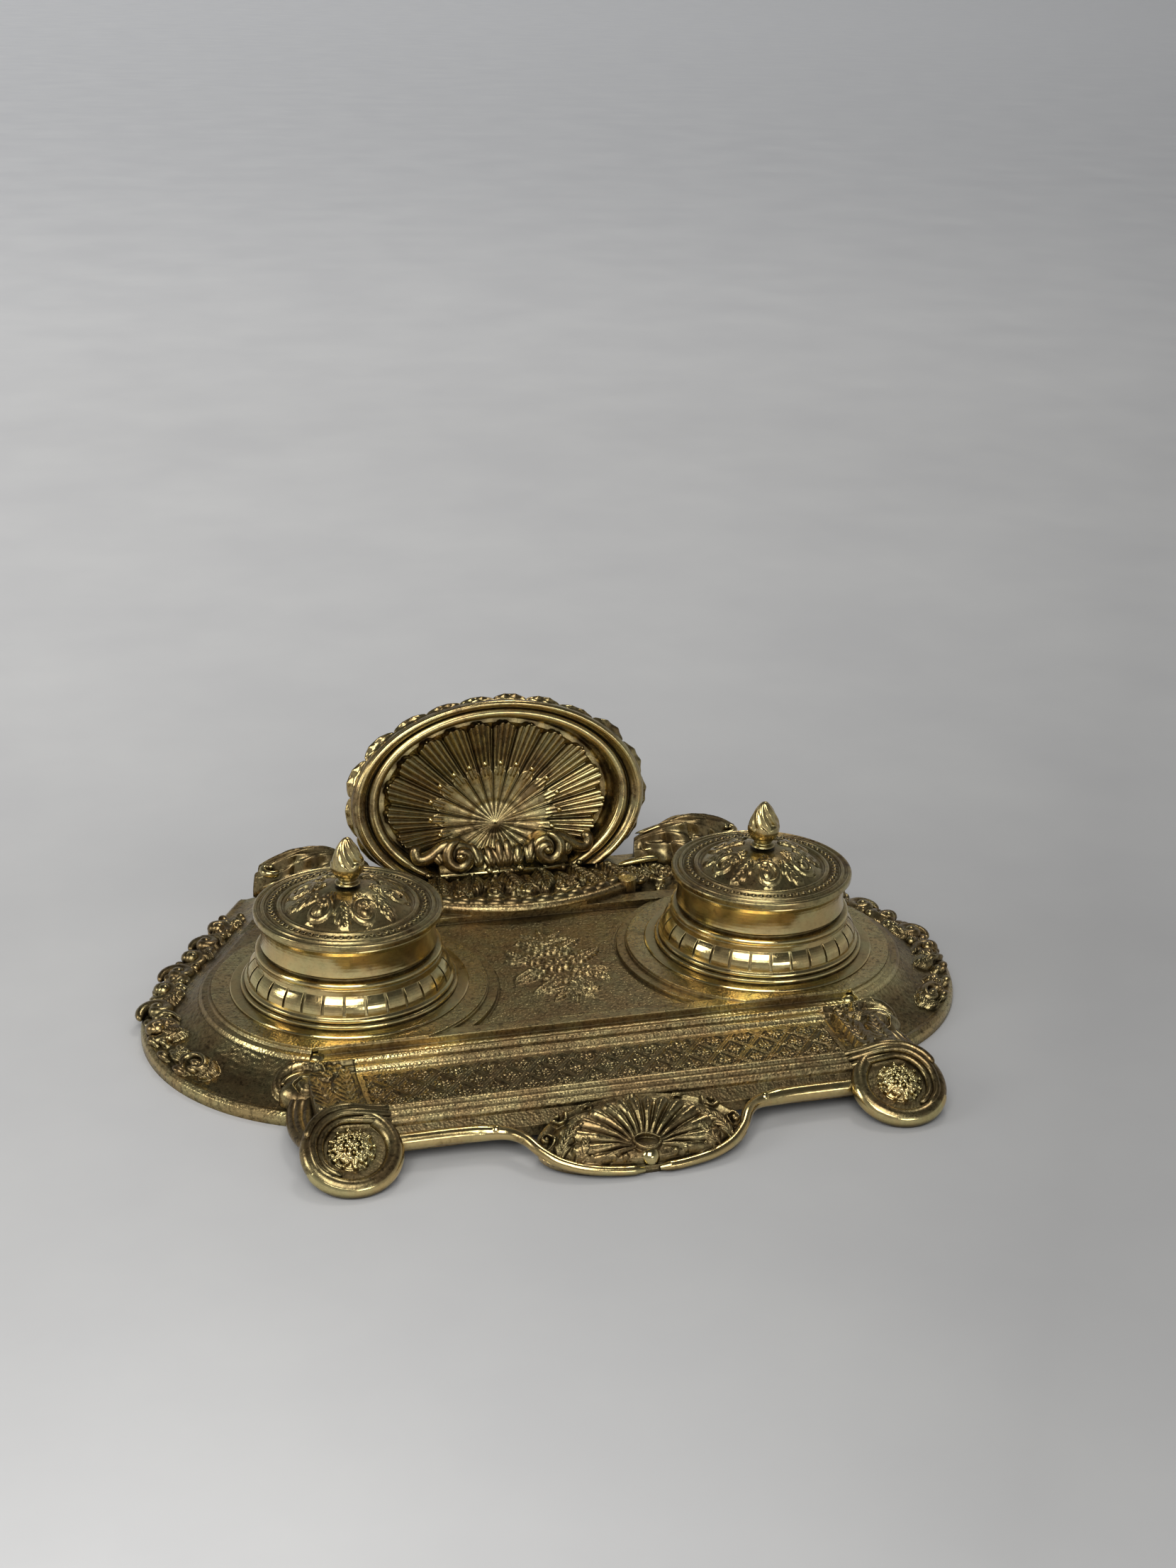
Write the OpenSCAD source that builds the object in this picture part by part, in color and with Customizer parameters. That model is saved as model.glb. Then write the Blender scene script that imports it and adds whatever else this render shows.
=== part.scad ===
// Desk inkstand in cast and turned brass: a hollow tray with two ink wells, a sunken
// centre tray, a pen channel, scroll feet and an upright scallop shell at the back.
// The origin is on the table, under the middle of the whole outline; +Y is the back.

/* [Layout] */
// Distance between the axes of the two ink wells
well_spacing = 157; // [145:1:190]
// Height of the round seats above the table
seat_h = 16; // [14:0.5:20]
// Diameter of the raised round seat under each well
seat_d = 100; // [92:1:120]
// Width of the sloping border around each end
border_w = 25.5; // [20:0.5:32]
// Wall thickness of the hollow casting
wall = 3; // [2:0.1:3.6]
// Distance from the well axes back to the rear rim
rear_reach = 104; // [98:1:125]
// Width of the flat rim that stands on the table
rim_w = 3; // [2:0.1:5]

/* [Centre tray and pen channel] */
// Depth by which the front edge of the platform cuts into the round seats
front_cut = 4; // [2:0.5:6]
// Depth of the platform behind the round seats
rear_margin = 1.5; // [0:0.5:6]
// Depth of the sunken tray between the wells
tray_depth = 3.5; // [2:0.1:4.5]
// Width of the lower step between each round seat and the sunken tray
seat_step = 3.5; // [2:0.1:5]
// Drop from the round seats to that step
seat_step_h = 1.8; // [1:0.1:2.4]
// Width of the front and rear strips that border the sunken tray
tray_strip = 5; // [3:0.5:8]
// Width of the floor of the pen channel
channel_w = 25; // [16:0.5:32]
// Depth of the pen channel below the seats
channel_depth = 6.5; // [4:0.1:7]
// Length of the pen channel
channel_len = 176; // [140:1:182]
// Radius of each of the three ridges along the front
ridge_r = 1.5; // [1:0.1:1.8]
// Height of the gap between the apron and the table
apron_gap = 4.5; // [3:0.1:6]

/* [Scroll feet and pendant] */
// Outer diameter of each scroll foot
scroll_d = 33.4; // [28:0.2:38]
// Thickness of the rolled edge of a scroll foot
scroll_roll = 6; // [4:0.2:7]
// Slope of the scroll feet to the table, in degrees
scroll_tilt = 25; // [18:1:30]
// Half the width of the scallop that hangs on the apron
pendant_w = 36; // [24:1:42]
// Length of the hanging scallop along its slope
pendant_len = 31; // [26:1:36]
// Number of flutes on the hanging scallop
pendant_flutes = 12; // [8:1:16]

/* [Back shell] */
// Width of the shell over its polished rim
shell_w = 123; // [100:1:140]
// Height of the shell along its own slope, over the polished rim
shell_h = 71; // [60:0.5:86]
// Lean of the shell towards the back, in degrees
shell_lean = 15; // [8:1:22]
// Width of the moulded rim around the dish
shell_rim = 12.5; // [9:0.5:14]
// Depth of the dish behind the rim
shell_depth = 11; // [7:0.5:14]
// Number of flutes around the whole shell
shell_flutes = 24; // [12:1:24]
// Depth of the flutes at the edge of the dish
flute_depth = 2.6; // [1:0.1:3.2]
// Reach of the leaf tips behind the rim
leaf_tip = 3; // [1.5:0.1:4]

/* [Leaf wings] */
// Length of each leaf wing
wing_len = 45; // [38:1:58]
// Height of each leaf wing
wing_h = 20; // [12:0.5:24]

/* [Ink wells] */
// Wall of the polished collar around the flange of the liner
collar_wall = 2.1; // [1.6:0.1:4]
// Height of a well body above its seat
well_h = 28.5; // [24:0.5:34]
// Reach of the panelled swell beyond the collar
swell_out = 7.3; // [5:0.1:9]
// Reach of the flat foot beyond the swell
foot_out = 4.5; // [2:0.1:6]
// Number of polished panels around the swell of each well
panel_count = 30; // [20:1:36]
// Thickness of the floor of a well body
well_floor = 3.5; // [3:0.1:5]
// Depth from the top of the collar to the shoulder that carries the liner
liner_seat = 5; // [4:0.1:6]

/* [Liners] */
// Outer radius of the liner cup
liner_r = 25.8; // [22:0.1:26.5]
// Wall thickness of the liner
liner_wall = 2.8; // [2:0.1:4]
// Thickness of the liner flange
flange_t = 2.2; // [1.5:0.1:2.4]
// Reach of the liner flange beyond its cup
flange_w = 3.1; // [2.4:0.1:5]
// Clearance around pieces that drop into one another
slip = 0.5; // [0.3:0.05:0.8]

/* [Lids] */
// Reach of the brim of a lid beyond the collar
lid_overhang = 2.5; // [1.5:0.1:5]
// Height of the domed centre above the top of the collar
dome_h = 10.4; // [8:0.2:13]
// Thickness of a lid
lid_t = 2.2; // [1.6:0.1:2.8]
// Depth of the ring that locates a lid in the collar
spigot_h = 2.4; // [1.5:0.1:2.6]
// Length of a finial
finial_len = 18.6; // [14:0.2:24]
// Greatest radius of a finial
finial_r = 4.9; // [4:0.1:6]

/* [Fasteners] */
// Radius of the bolt through each well
bolt_r = 2.5; // [2:0.1:3]
// Radius of the screws that hold the shell and the wings
screw_r = 2; // [1.5:0.1:2.5]
// Radius of the stud of a finial
stud_r = 1.8; // [1.5:0.1:2]
// Thickness of the plain washers
washer_t = 1.2; // [0.8:0.1:1.6]
// Clearance of a fastener in its hole
hole_play = 0.3; // [0.15:0.05:0.5]

/* [Hidden] */
brass = [0.72, 0.55, 0.22];
dark_brass = [0.5, 0.38, 0.16];
porcelain = [0.93, 0.92, 0.88];
iron = [0.3, 0.29, 0.28];
$fn = 96;

// Plan of the tray, measured from the point between the two well axes
wx = well_spacing / 2;
seat_r = seat_d / 2;
end_r = seat_r + border_w;
platform_front = seat_r - front_cut;
platform_rear = seat_r + rear_margin;
front_y = -platform_front;
flank_a = 28;
front_a = -asin(platform_front / seat_r) + 1;
platform_half = wx + 0.94 * sqrt(seat_r * seat_r - platform_front * platform_front);

// Heights of the front section
floor_z = seat_h - channel_depth;
floor_rear = front_y - 9.5;
floor_front = floor_rear - channel_w;
ridge_y = floor_front - 6.5;
ridge_z = seat_h - 1 - ridge_r;
ridge_pitch = 2 * ridge_r + 0.2;
apron_y = ridge_y - 2 * ridge_pitch - ridge_r;
apron_z = ridge_z - 2.2;
skirt_y = apron_y - 4.2;
front_end_x = wx + 24.5;

// Scroll feet: the roll just reaches the table and is cut flat there
foot_flat = 0.4;
roll_r = scroll_roll / 2;
scroll_r = scroll_d / 2 - roll_r;
scroll_z = scroll_r * sin(scroll_tilt) + roll_r - foot_flat;
scroll_x = wx + 16;
scroll_y = apron_y + 5.6 - scroll_r * cos(scroll_tilt);

// Curls at the front corners of the border
curl_at = -65;
curl_tilt = 25;
curl_r = 7.6;
curl_roll = 2.2;

// Hanging scallop: its slope starts on the apron and ends just above the table
pendant_y = apron_y + 0.6;
pendant_z = apron_z + 0.9;
pendant_tilt = 21;
pendant_focus = pendant_len * 0.6;

// Rear terrace that carries the shell and the wings
terrace = 0.62;
plinth_z = seat_h * terrace + 0.6;
plinth_y = rear_reach - 11;
plinth_half = 6.5;
// Share of the rim's width that it has over the top and under the dish
rim_squash = 0.62;
shell_rise = 0.9;
shell_c = shell_rise + shell_h / 2;
shell_a = shell_w / 2;
shell_b = shell_h / 2;
focus_v = shell_rise + shell_h * 0.26;
shell_back = shell_depth + 5.5;

// Whole depth, which puts the origin under the middle of the outline
front_end = pendant_y - pendant_len * cos(pendant_tilt) - 0.2;
rear_v = focus_v + 0.75 * (shell_c + shell_b - shell_rim * rim_squash - focus_v);
rear_end = plinth_y + rear_v * sin(shell_lean) + (shell_back - 1.2) * cos(shell_lean);
shift_y = -(front_end + rear_end) / 2;

// Ink wells, from the seat up
collar_z = seat_h + well_h;
bore_r = liner_r + slip;
flange_r = liner_r + flange_w;
rebate_r = flange_r + slip;
collar_r = rebate_r + collar_wall;
swell_r = collar_r + swell_out;
foot_r = swell_r + foot_out;
lid_r = collar_r + lid_overhang;
shoulder_z = collar_z - liner_seat;
floor_top = seat_h + well_floor;
head_h = 2.6;
head_r = bolt_r * 2.1;
liner_bottom = floor_top + head_h + slip;
boss_h = 3.5;
bolt_boss_r = bolt_r * 3.2;
boss_z = seat_h - wall - boss_h;
nut_h = 4;
nut_r = bolt_r * 1.9;
finial_nut_h = 2.4;

// Screw places on the plinth
shell_screw_x = 20;
wing_x = shell_a + wing_len / 2 - 3;
screw_xs = [-wing_x, -shell_screw_x, shell_screw_x, wing_x];
screw_depth = 6;
crest_boss_z = 3.6;
screw_boss_r = screw_r * 2.5;

function lerp(a, b, t) = a + (b - a) * t;
function arc(c, r, a0, a1, n) =
    [for (i = [0 : n - 1]) let (a = lerp(a0, a1, i / (n - 1))) [c[0] + r * cos(a), c[1] + r * sin(a)]];

// Faces of a solid made of closed rings of n points, capped at the first and last ring
function skin_faces(m, n) = concat(
    [for (j = [0 : m - 2], i = [0 : n - 1]) let (k = (i + 1) % n)
        each [[j * n + i, j * n + k, (j + 1) * n + k], [j * n + i, (j + 1) * n + k, (j + 1) * n + i]]],
    [[for (i = [n - 1 : -1 : 0]) i]],
    [[for (i = [0 : n - 1]) (m - 1) * n + i]]);

module skin(rings) {
    polyhedron([for (r = rings) each r], skin_faces(len(rings), len(rings[0])), convexity = 8);
}

// Section of the sloping border: share of its width, share of the seat height
slope = [[0.03, 0.965], [0.05, 0.9], [0.13, 0.885], [0.16, 0.82], [0.24, 0.72], [0.36, 0.58],
         [0.52, 0.44], [0.7, 0.33], [0.86, 0.26], [0.93, 0.28], [0.98, 0.22], [1, 0.12]];
under = [[0, 1], [0.1, 0.82], [0.3, 0.5], [0.52, 0.3], [0.8, 0.16]];
far = 400;
// Each block of the casting stands a little lower than the one before it, so that their
// faces cross instead of lying in one plane; all of them are cut off flat at the table.
step_down = 0.12;
function border_outer(drop) = concat(
    [[end_r, -1 - drop], [-far, -1 - drop], [-far, slope[0][1] * seat_h - drop]],
    [for (s = slope) [seat_r + border_w * s[0], seat_h * s[1] - drop]]);
function border_inner(drop) = concat(
    [[end_r - rim_w, -3 - drop], [-far, -3 - drop], [-far, seat_h - wall - drop]],
    [for (s = under) [seat_r - 1 + (border_w - rim_w) * s[0], (seat_h - wall) * s[1] - drop]],
    [[end_r - rim_w, 0.8 - drop]]);
rear_start = front_y + wall + 0.6;
terrace_z = plinth_z - 0.3;
rear_outer = [[rear_reach, -2], [rear_start + 0.4, -2], [rear_start + 0.4, seat_h - 5 * step_down],
    [platform_rear, seat_h - 5 * step_down], [platform_rear + 1.4, seat_h - 1],
    [platform_rear + 3.4, terrace_z + 2.4], [platform_rear + 6.4, terrace_z],
    [rear_reach - 4.4, terrace_z], [rear_reach - 2.6, terrace_z - 1.4], [rear_reach - 1.8, terrace_z - 5],
    [rear_reach - 0.5, 2.8], [rear_reach, 1.6]];
rear_inner = [[rear_reach - rim_w, -5], [rear_start, -5], [rear_start, seat_h - wall - 5 * step_down],
    [platform_rear - 2.6, seat_h - wall - 5 * step_down], [platform_rear + 3, terrace_z - wall],
    [rear_reach - 6.6, terrace_z - wall], [rear_reach - rim_w - 1.6, terrace_z - 5.4],
    [rear_reach - rim_w, 1.4]];

// Round end of the border on the right, and the straight flank that follows it to the rear.
// The flank stands back a little, so that it crosses the round end instead of touching it.
flank_gap = 0.5;
module border_end(section, a0) {
    translate([wx, 0, 0]) rotate(a0) rotate_extrude(angle = flank_a + 45 - a0) intersection() {
        polygon(section);
        translate([0, -far]) square([far, 2 * far]);
    }
}
module border_flank(section, start) {
    translate([wx, 0, 0]) rotate(flank_a) translate([-flank_gap, far, 0]) rotate([90, 0, 0])
        linear_extrude(far + start) polygon(section);
}
module rear_block(side_section, rear_section, start) {
    intersection() {
        rotate([90, 0, 90]) translate([0, 0, -far / 2]) linear_extrude(far) polygon(rear_section);
        border_flank(side_section, start);
        mirror([1, 0, 0]) border_flank(side_section, start);
    }
}
// Platform between the two round ends
module platform(half, front, z0, z1) {
    translate([-half, front, z0]) cube([2 * half, 5 - front, z1 - z0]);
}
// Round seat of a well, cut off level with the front of the platform
module seat() {
    intersection() {
        translate([wx, 0, seat_h - wall / 2]) cylinder(r = seat_r, h = wall / 2);
        translate([0, front_y + 0.3, 0]) cube([far, far, seat_h + 1]);
    }
}

module side_pair() {
    children();
    mirror([1, 0, 0]) children();
}

// Sunken tray between the two round seats
tray_half = wx - 12;
module tray_plan(grow, step) {
    difference() {
        translate([-tray_half, front_y + tray_strip - grow])
            square([2 * tray_half, platform_front + platform_rear - 2 * tray_strip - 1 + 2 * grow]);
        for (s = [-1, 1]) translate([s * wx, 0]) circle(seat_r + 0.4 + step - grow);
    }
}

// Section of the front, drawn as depth against height
front_section = concat(
    [[front_y + 2, seat_h - wall + 0.3], [front_y - 2.4, seat_h - 3.6]],
    arc([front_y - 4.2, seat_h - 4.4], 1.4, 50, 200, 7),
    [[floor_rear, floor_z + 1.2], [floor_rear - 2, floor_z + 2.4], [floor_front + 2, ridge_z - 1]],
    arc([ridge_y, ridge_z], ridge_r, 20, 165, 7),
    arc([ridge_y - ridge_pitch, ridge_z - 0.4], ridge_r, 15, 170, 7),
    arc([ridge_y - 2 * ridge_pitch, ridge_z - 1], ridge_r, 20, 175, 7),
    [[apron_y, apron_z], [skirt_y + 0.8, apron_gap + 4.4], [skirt_y, apron_gap + 3.9], [skirt_y, apron_gap],
     [skirt_y + 2.2, apron_gap], [skirt_y + 3.4, apron_gap + 2.6], [apron_y + 2.4, apron_z - wall],
     [floor_front, floor_z - wall], [floor_rear, floor_z - wall], [front_y - 3, floor_z - wall + 1],
     [front_y + 2, seat_h - wall - 1]]);
channel_section = concat(
    [[floor_rear + 2.4, seat_h + 2], [floor_rear + 2.4, floor_z + 2.4]],
    arc([floor_rear, floor_z + 2.4], 2.4, 0, -90, 6),
    arc([floor_front, floor_z + 2.6], 2.6, 270, 180, 6),
    [[floor_front - 4.2, ridge_z + 0.4], [floor_front - 4.2, seat_h + 2]]);

module along_x(half) {
    translate([-half, 0, 0]) rotate([90, 0, 90]) linear_extrude(2 * half) children();
}

// Disc with a rolled edge and a domed pad
module curled_disc(r, roll) {
    rotate_extrude() {
        translate([r, 0]) circle(roll, $fn = 32);
        translate([0, -roll * 0.6]) square([r, roll * 0.9]);
    }
    rotate_extrude() intersection() {
        translate([0, -r * 0.62]) circle(r * 0.86);
        square([r, r * 0.236]);
    }
}
// Foot that ends the front moulding
module scroll_foot() {
    translate([scroll_x, scroll_y, scroll_z]) rotate([scroll_tilt, 0, 0]) curled_disc(scroll_r, roll_r);
}
// Small curl where the border meets the front moulding, and the border under it
module corner_curl() {
    translate([wx, 0, 0]) rotate(curl_at) translate([seat_r + border_w * 0.43, 0, seat_h * 0.51])
        rotate([0, curl_tilt, 0]) curled_disc(curl_r, curl_roll);
}
corner_from = 0.24;
corner_gap = 0.2;
module border_corner() {
    translate([wx, 0, 0]) rotate(curl_at - 12) rotate_extrude(angle = 14) difference() {
        polygon(concat([[seat_r + border_w * corner_from, -2]],
            [for (s = slope) if (s[0] >= corner_from)
                [seat_r + border_w * s[0] - corner_gap, seat_h * s[1] - 2 * step_down]],
            [[end_r - corner_gap, -2]]));
        polygon([[seat_r + border_w * 0.34, -3], [seat_r + border_w * 0.34, seat_h * 0.32],
            [seat_r + border_w * 0.5, seat_h * 0.22], [end_r - rim_w - 1, 1], [end_r - rim_w - 1, -3]]);
    }
}

// Scallop that hangs on the apron, fluted on its upper side
pendant_n = pendant_flutes * 6;
function pendant_edge(a) = let (up = pendant_focus, down = pendant_len - pendant_focus)
    [pendant_w * cos(a), (sin(a) > 0 ? up : down) * sin(a)];
function pendant_at(a, r, h) = let (e = pendant_edge(a) * r, v = e[1] - pendant_focus)
    [e[0], pendant_y + v * cos(pendant_tilt) + h * -sin(pendant_tilt),
     pendant_z + v * sin(pendant_tilt) + h * cos(pendant_tilt)];
function pendant_flute(i, r) = 1.5 * r * abs(sin(180 * i / 6));
pendant_rings = concat(
    [for (r = [0.08, 0.25, 0.45, 0.65, 0.8]) [for (i = [0 : pendant_n - 1])
        pendant_at(360 * i / pendant_n, r, 0.6 + 3.4 * sin(180 * r) + pendant_flute(i, r) - 0.6)]],
    [[for (i = [0 : pendant_n - 1]) pendant_at(360 * i / pendant_n, 0.88, 0.4)],
     [for (i = [0 : pendant_n - 1]) pendant_at(360 * i / pendant_n, 0.95, 1.6)],
     [for (i = [0 : pendant_n - 1]) pendant_at(360 * i / pendant_n, 1, 0.6)],
     [for (i = [0 : pendant_n - 1]) pendant_at(360 * i / pendant_n, 0.98, -2)],
     [for (i = [0 : pendant_n - 1]) pendant_at(360 * i / pendant_n, 0.3, -3.2)]]);

// Round drop at the lower edge of the hanging scallop
drop_r = 3.4;
module pendant_drop() {
    translate(pendant_at(270, 0.66, 1.6)) rotate_extrude() intersection() {
        circle(drop_r);
        translate([0, -drop_r * 0.95]) square([drop_r, drop_r * 1.9]);
    }
}

// Bowed ledge behind the sunken tray
ledge_bow = 79;
ledge_half = 33;
ledge_w = 4.4;
ledge_h = seat_h + 0.8 - terrace_z + 0.5;
module rear_ledge() {
    translate([0, platform_rear - tray_strip + ledge_bow - ledge_w / 2, terrace_z - 0.5])
        {
            rotate(270 - ledge_half) rotate_extrude(angle = 2 * ledge_half)
                translate([ledge_bow - ledge_w / 2, 0]) {
                    square([ledge_w, ledge_h]);
                    translate([ledge_w / 2, ledge_h]) circle(ledge_w / 2, $fn = 32);
                }
            for (s = [-1, 1]) rotate(270 + s * ledge_half) translate([ledge_bow, 0, 0])
                cylinder(r = ledge_w * 0.8, h = ledge_h + ledge_w * 0.7);
        }
}

module base_casting() {
    color(brass) translate([0, shift_y, 0]) difference() {
        union() {
            difference() {
                union() {
                    side_pair() {
                        seat();
                        border_end(border_outer(0), front_a);
                        border_corner();
                    }
                    rear_block(border_outer(step_down), rear_outer, 5);
                    platform(platform_half, front_y, floor_z - 1.5, seat_h - 6 * step_down);
                    along_x(front_end_x) polygon(front_section);
                    plinth();
                }
                rear_block(border_inner(step_down), rear_inner, 4);
                side_pair() border_end(border_inner(0), front_a + 5);
                platform(platform_half - wall, front_y + wall, -6, seat_h - wall - 6 * step_down);
                along_x(channel_len / 2) polygon(channel_section);
            }
            translate([0, 0, seat_h - tray_depth - wall]) linear_extrude(tray_depth + 0.8)
                tray_plan(wall, 0);
            rear_ledge();
            side_pair() {
                scroll_foot();
                corner_curl();
                translate([wx, 0, boss_z]) cylinder(r = bolt_boss_r, h = boss_h + 1);
            }
            skin(pendant_rings);
            pendant_drop();
            for (x = screw_xs) translate([x, plinth_y, crest_boss_z])
                cylinder(r = screw_boss_r, h = plinth_z - crest_boss_z - 1);
        }
        translate([0, 0, seat_h - tray_depth]) linear_extrude(tray_depth + 1) tray_plan(0, seat_step);
        translate([0, 0, seat_h - seat_step_h]) linear_extrude(seat_step_h + 1) tray_plan(-0.15, 0);
        side_pair() translate([wx, 0, 0]) cylinder(r = bolt_r + hole_play, h = seat_h + 1, $fn = 48);
        for (x = screw_xs) translate([x, plinth_y, 0])
            cylinder(r = screw_r + hole_play, h = plinth_z + 1, $fn = 48);
        translate([-far / 2, -far / 2, -10]) cube([far, far, 10]);
    }
}

// Low plinth under the shell and the wings, with cut corners
module plinth() {
    half = wing_x + wing_len / 2 - 6;
    cut = plinth_half * 0.6;
    translate([0, plinth_y, plinth_z - 7]) linear_extrude(7) side_pair()
        polygon([[0, -plinth_half], [half - cut, -plinth_half], [half, cut - plinth_half],
                 [half, plinth_half - cut], [half - cut, plinth_half], [0, plinth_half]]);
}

// Shell: rings of one outline round the rim, then rays towards the focus of the flutes
shell_n = shell_flutes * 6;
function ray(a, ea, eb) = let (dx = cos(a), dy = sin(a), oy = focus_v - shell_c,
    qa = dx * dx / (ea * ea) + dy * dy / (eb * eb), qb = 2 * oy * dy / (eb * eb),
    qc = oy * oy / (eb * eb) - 1)
    (-qb + sqrt(qb * qb - 4 * qa * qc)) / (2 * qa);
function shell_at(a, d, n) = let (v = focus_v + d * sin(a))
    [d * cos(a), plinth_y + v * sin(shell_lean) - n * cos(shell_lean),
     plinth_z + v * cos(shell_lean) + n * sin(shell_lean)];
function rim_ray(a, inset) = ray(a, shell_a - inset, shell_b - inset * rim_squash);
function shell_ring(inset, n) = [for (i = [0 : shell_n - 1]) let (a = 360 * i / shell_n)
    shell_at(a, rim_ray(a, inset), n)];
function flute(i) = flute_depth * (1 - pow(abs(cos(180 * i / 6)), 1.5));
function dish_ring(t, n, f) = [for (i = [0 : shell_n - 1]) let (a = 360 * i / shell_n)
    shell_at(a, t * rim_ray(a, shell_rim), n + f * flute(i))];
// The tips fade away towards the foot of the shell
function tip_ring(reach, n) = [for (i = [0 : shell_n - 1]) let (a = 360 * i / shell_n,
    fade = max(0, min(1, 0.7 + sin(a))), tip = reach * fade * pow(abs(sin(180 * i / 6)), 0.7))
    shell_at(a, rim_ray(a, -tip), n)];
// Section of the moulded rim: share of its width from the outside, height of its face
rim_steps = [[1, -2.6], [0.88, 1.6], [0.72, 3.2], [0.58, 3.4], [0.48, 2.2], [0.36, 3.6], [0.2, 4.8],
             [0.06, 3.6]];
shell_rings = concat(
    [dish_ring(0.05, -shell_depth + 1.4, 0), dish_ring(0.2, -shell_depth, 0.3),
     dish_ring(0.4, -shell_depth + 0.3, 0.6), dish_ring(0.6, -shell_depth + 1.2, 0.85),
     dish_ring(0.8, -shell_depth + 3, 1), dish_ring(0.94, -shell_depth + 5, 0.9)],
    [for (s = rim_steps) shell_ring(shell_rim * s[0], s[1])],
    [shell_ring(0, 1.4), tip_ring(leaf_tip, -1.2), shell_ring(1.5, -4.4), shell_ring(shell_rim * 0.8, -9)],
    [dish_ring(0.75, -shell_back + 1.2, 0), dish_ring(0.3, -shell_back, 0)]);

// Moulded foot of the shell, drawn as depth against height, and its pair of volutes
shell_foot_half = shell_screw_x + 7;
shell_foot = [[-5.8, 0], [5.8, 0], [4.6, 8.6], [-1.6, 8.6], [-2.6, 5], [-4.4, 3.4], [-5.8, 2.8]];
volute_u = 18.2;
volute_v = 8.4;
volute_r = 6.4;
volute_roll = 1.8;
volute_face = 4.6;
// Places what is drawn as width, height and depth of the shell on its slope
module on_shell() {
    translate([0, plinth_y, plinth_z]) rotate([90 - shell_lean, 0, 0]) children();
}

module back_shell() {
    color(brass) translate([0, shift_y, 0]) difference() {
        union() {
            skin(shell_rings);
            translate([0, plinth_y, plinth_z]) along_x(shell_foot_half) polygon(shell_foot);
            on_shell() side_pair() translate([volute_u, volute_v, -4]) {
                cylinder(r = volute_r, h = volute_face + 4);
                translate([0, 0, volute_face + 4]) curled_disc(volute_r - volute_roll, volute_roll);
            }
        }
        for (s = [-1, 1]) translate([s * shell_screw_x, plinth_y, plinth_z - 1])
            cylinder(r = screw_r, h = screw_depth + 1, $fn = 48);
    }
}

// Leaf wing: a ribbed leaf that starts beside the shell and curls down at its tip
wing_n = 19;
wing_m = 15;
wing_lobes = 3;
wing_w = 11;
function wing_spine(t) = [lerp(shell_a - 5, shell_a - 5 + wing_len, t), plinth_y - 4 * sin(180 * t)];
function wing_lobe(t) = 0.88 + 0.12 * abs(sin(180 * wing_lobes * t));
function wing_width(t) = wing_w * pow(sin(25 + 150 * t), 0.8) * wing_lobe(t) + 0.5;
function wing_rise(t) = wing_h * (0.4 + 0.6 * sin(10 + 150 * t)) * (t > 0.96 ? 0.75 : 1);
function wing_rib(t, u) = 1 + 0.1 * cos(360 * 2.5 * u) * sin(20 + 140 * t);
function wing_top(t, u) = let (p = wing_spine(t), w = wing_width(t))
    [p[0] + 3 * u * (0.5 - t), p[1] + w * u,
     plinth_z + wing_rise(t) * (1 - 0.75 * u * u) * wing_rib(t, u)];
function wing_foot(t, u) = let (p = wing_top(t, u)) [p[0], p[1], plinth_z];
wing_rings = [for (i = [0 : wing_n - 1]) let (t = i / (wing_n - 1)) concat(
    [for (j = [0 : wing_m - 1]) wing_top(t, lerp(-1, 1, j / (wing_m - 1)))],
    [wing_foot(t, 1), wing_foot(t, -1)])];

module leaf_wing() {
    translate([0, shift_y, 0]) difference() {
        skin(wing_rings);
        translate([wing_x, plinth_y, plinth_z - 1]) cylinder(r = screw_r, h = screw_depth + 1, $fn = 48);
    }
}
module right_leaf_wing() { color(brass) leaf_wing(); }
module left_leaf_wing() { color(brass) mirror([1, 0, 0]) leaf_wing(); }

// Screws from beneath: their heads sit on washers under the bosses of the tray
module crest_screws() {
    color(iron) for (x = screw_xs) translate([x, plinth_y + shift_y, crest_boss_z - washer_t]) {
        cylinder(r = screw_r, h = plinth_z - crest_boss_z + washer_t + screw_depth - 1, $fn = 48);
        translate([0, 0, -1.6]) cylinder(r = screw_r * 1.9, h = 1.6, $fn = 48);
    }
}
module crest_washers() {
    color(dark_brass) for (x = screw_xs) translate([x, plinth_y + shift_y, crest_boss_z - washer_t])
        difference() {
            cylinder(r = screw_r * 2.3, h = washer_t, $fn = 48);
            translate([0, 0, -1]) cylinder(r = screw_r + hole_play, h = washer_t + 2, $fn = 48);
        }
}

// Places a turned piece on the axis of the left (-1) or right (1) well
module at_well(side, z) { translate([side * wx, shift_y, z]) children(); }

// Outline of a well body, from the foot up to the collar
neck_r = swell_r - 5.2;
swell_top = well_h * 0.44;
well_outer = concat(
    [[foot_r, 0], [foot_r, 0.5], [foot_r - 0.4, 0.9], [swell_r + 1.2, 1]],
    arc([swell_r - 0.4, 2], 1, -60, 70, 5),
    arc([swell_r - 1.7, 3.7], 0.9, -60, 70, 5),
    arc([swell_r - 10.2, 4.9], 8.4, 0, 52, 9),
    [[neck_r, swell_top + 0.4], [neck_r, swell_top + 1]],
    arc([neck_r - 1.1, swell_top + 2.2], 1.2, -50, 80, 6),
    [[collar_r - 0.7, swell_top + 3.8], [collar_r - 0.7, swell_top + 4.4],
     [collar_r + 0.3, swell_top + 5.2]],
    arc([collar_r + 21.4, lerp(swell_top + 5.2, well_h - 1.6, 0.5)], 21.6, 190, 170, 7),
    [[collar_r + 1.1, well_h - 0.8], [collar_r + 0.8, well_h]]);

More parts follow.
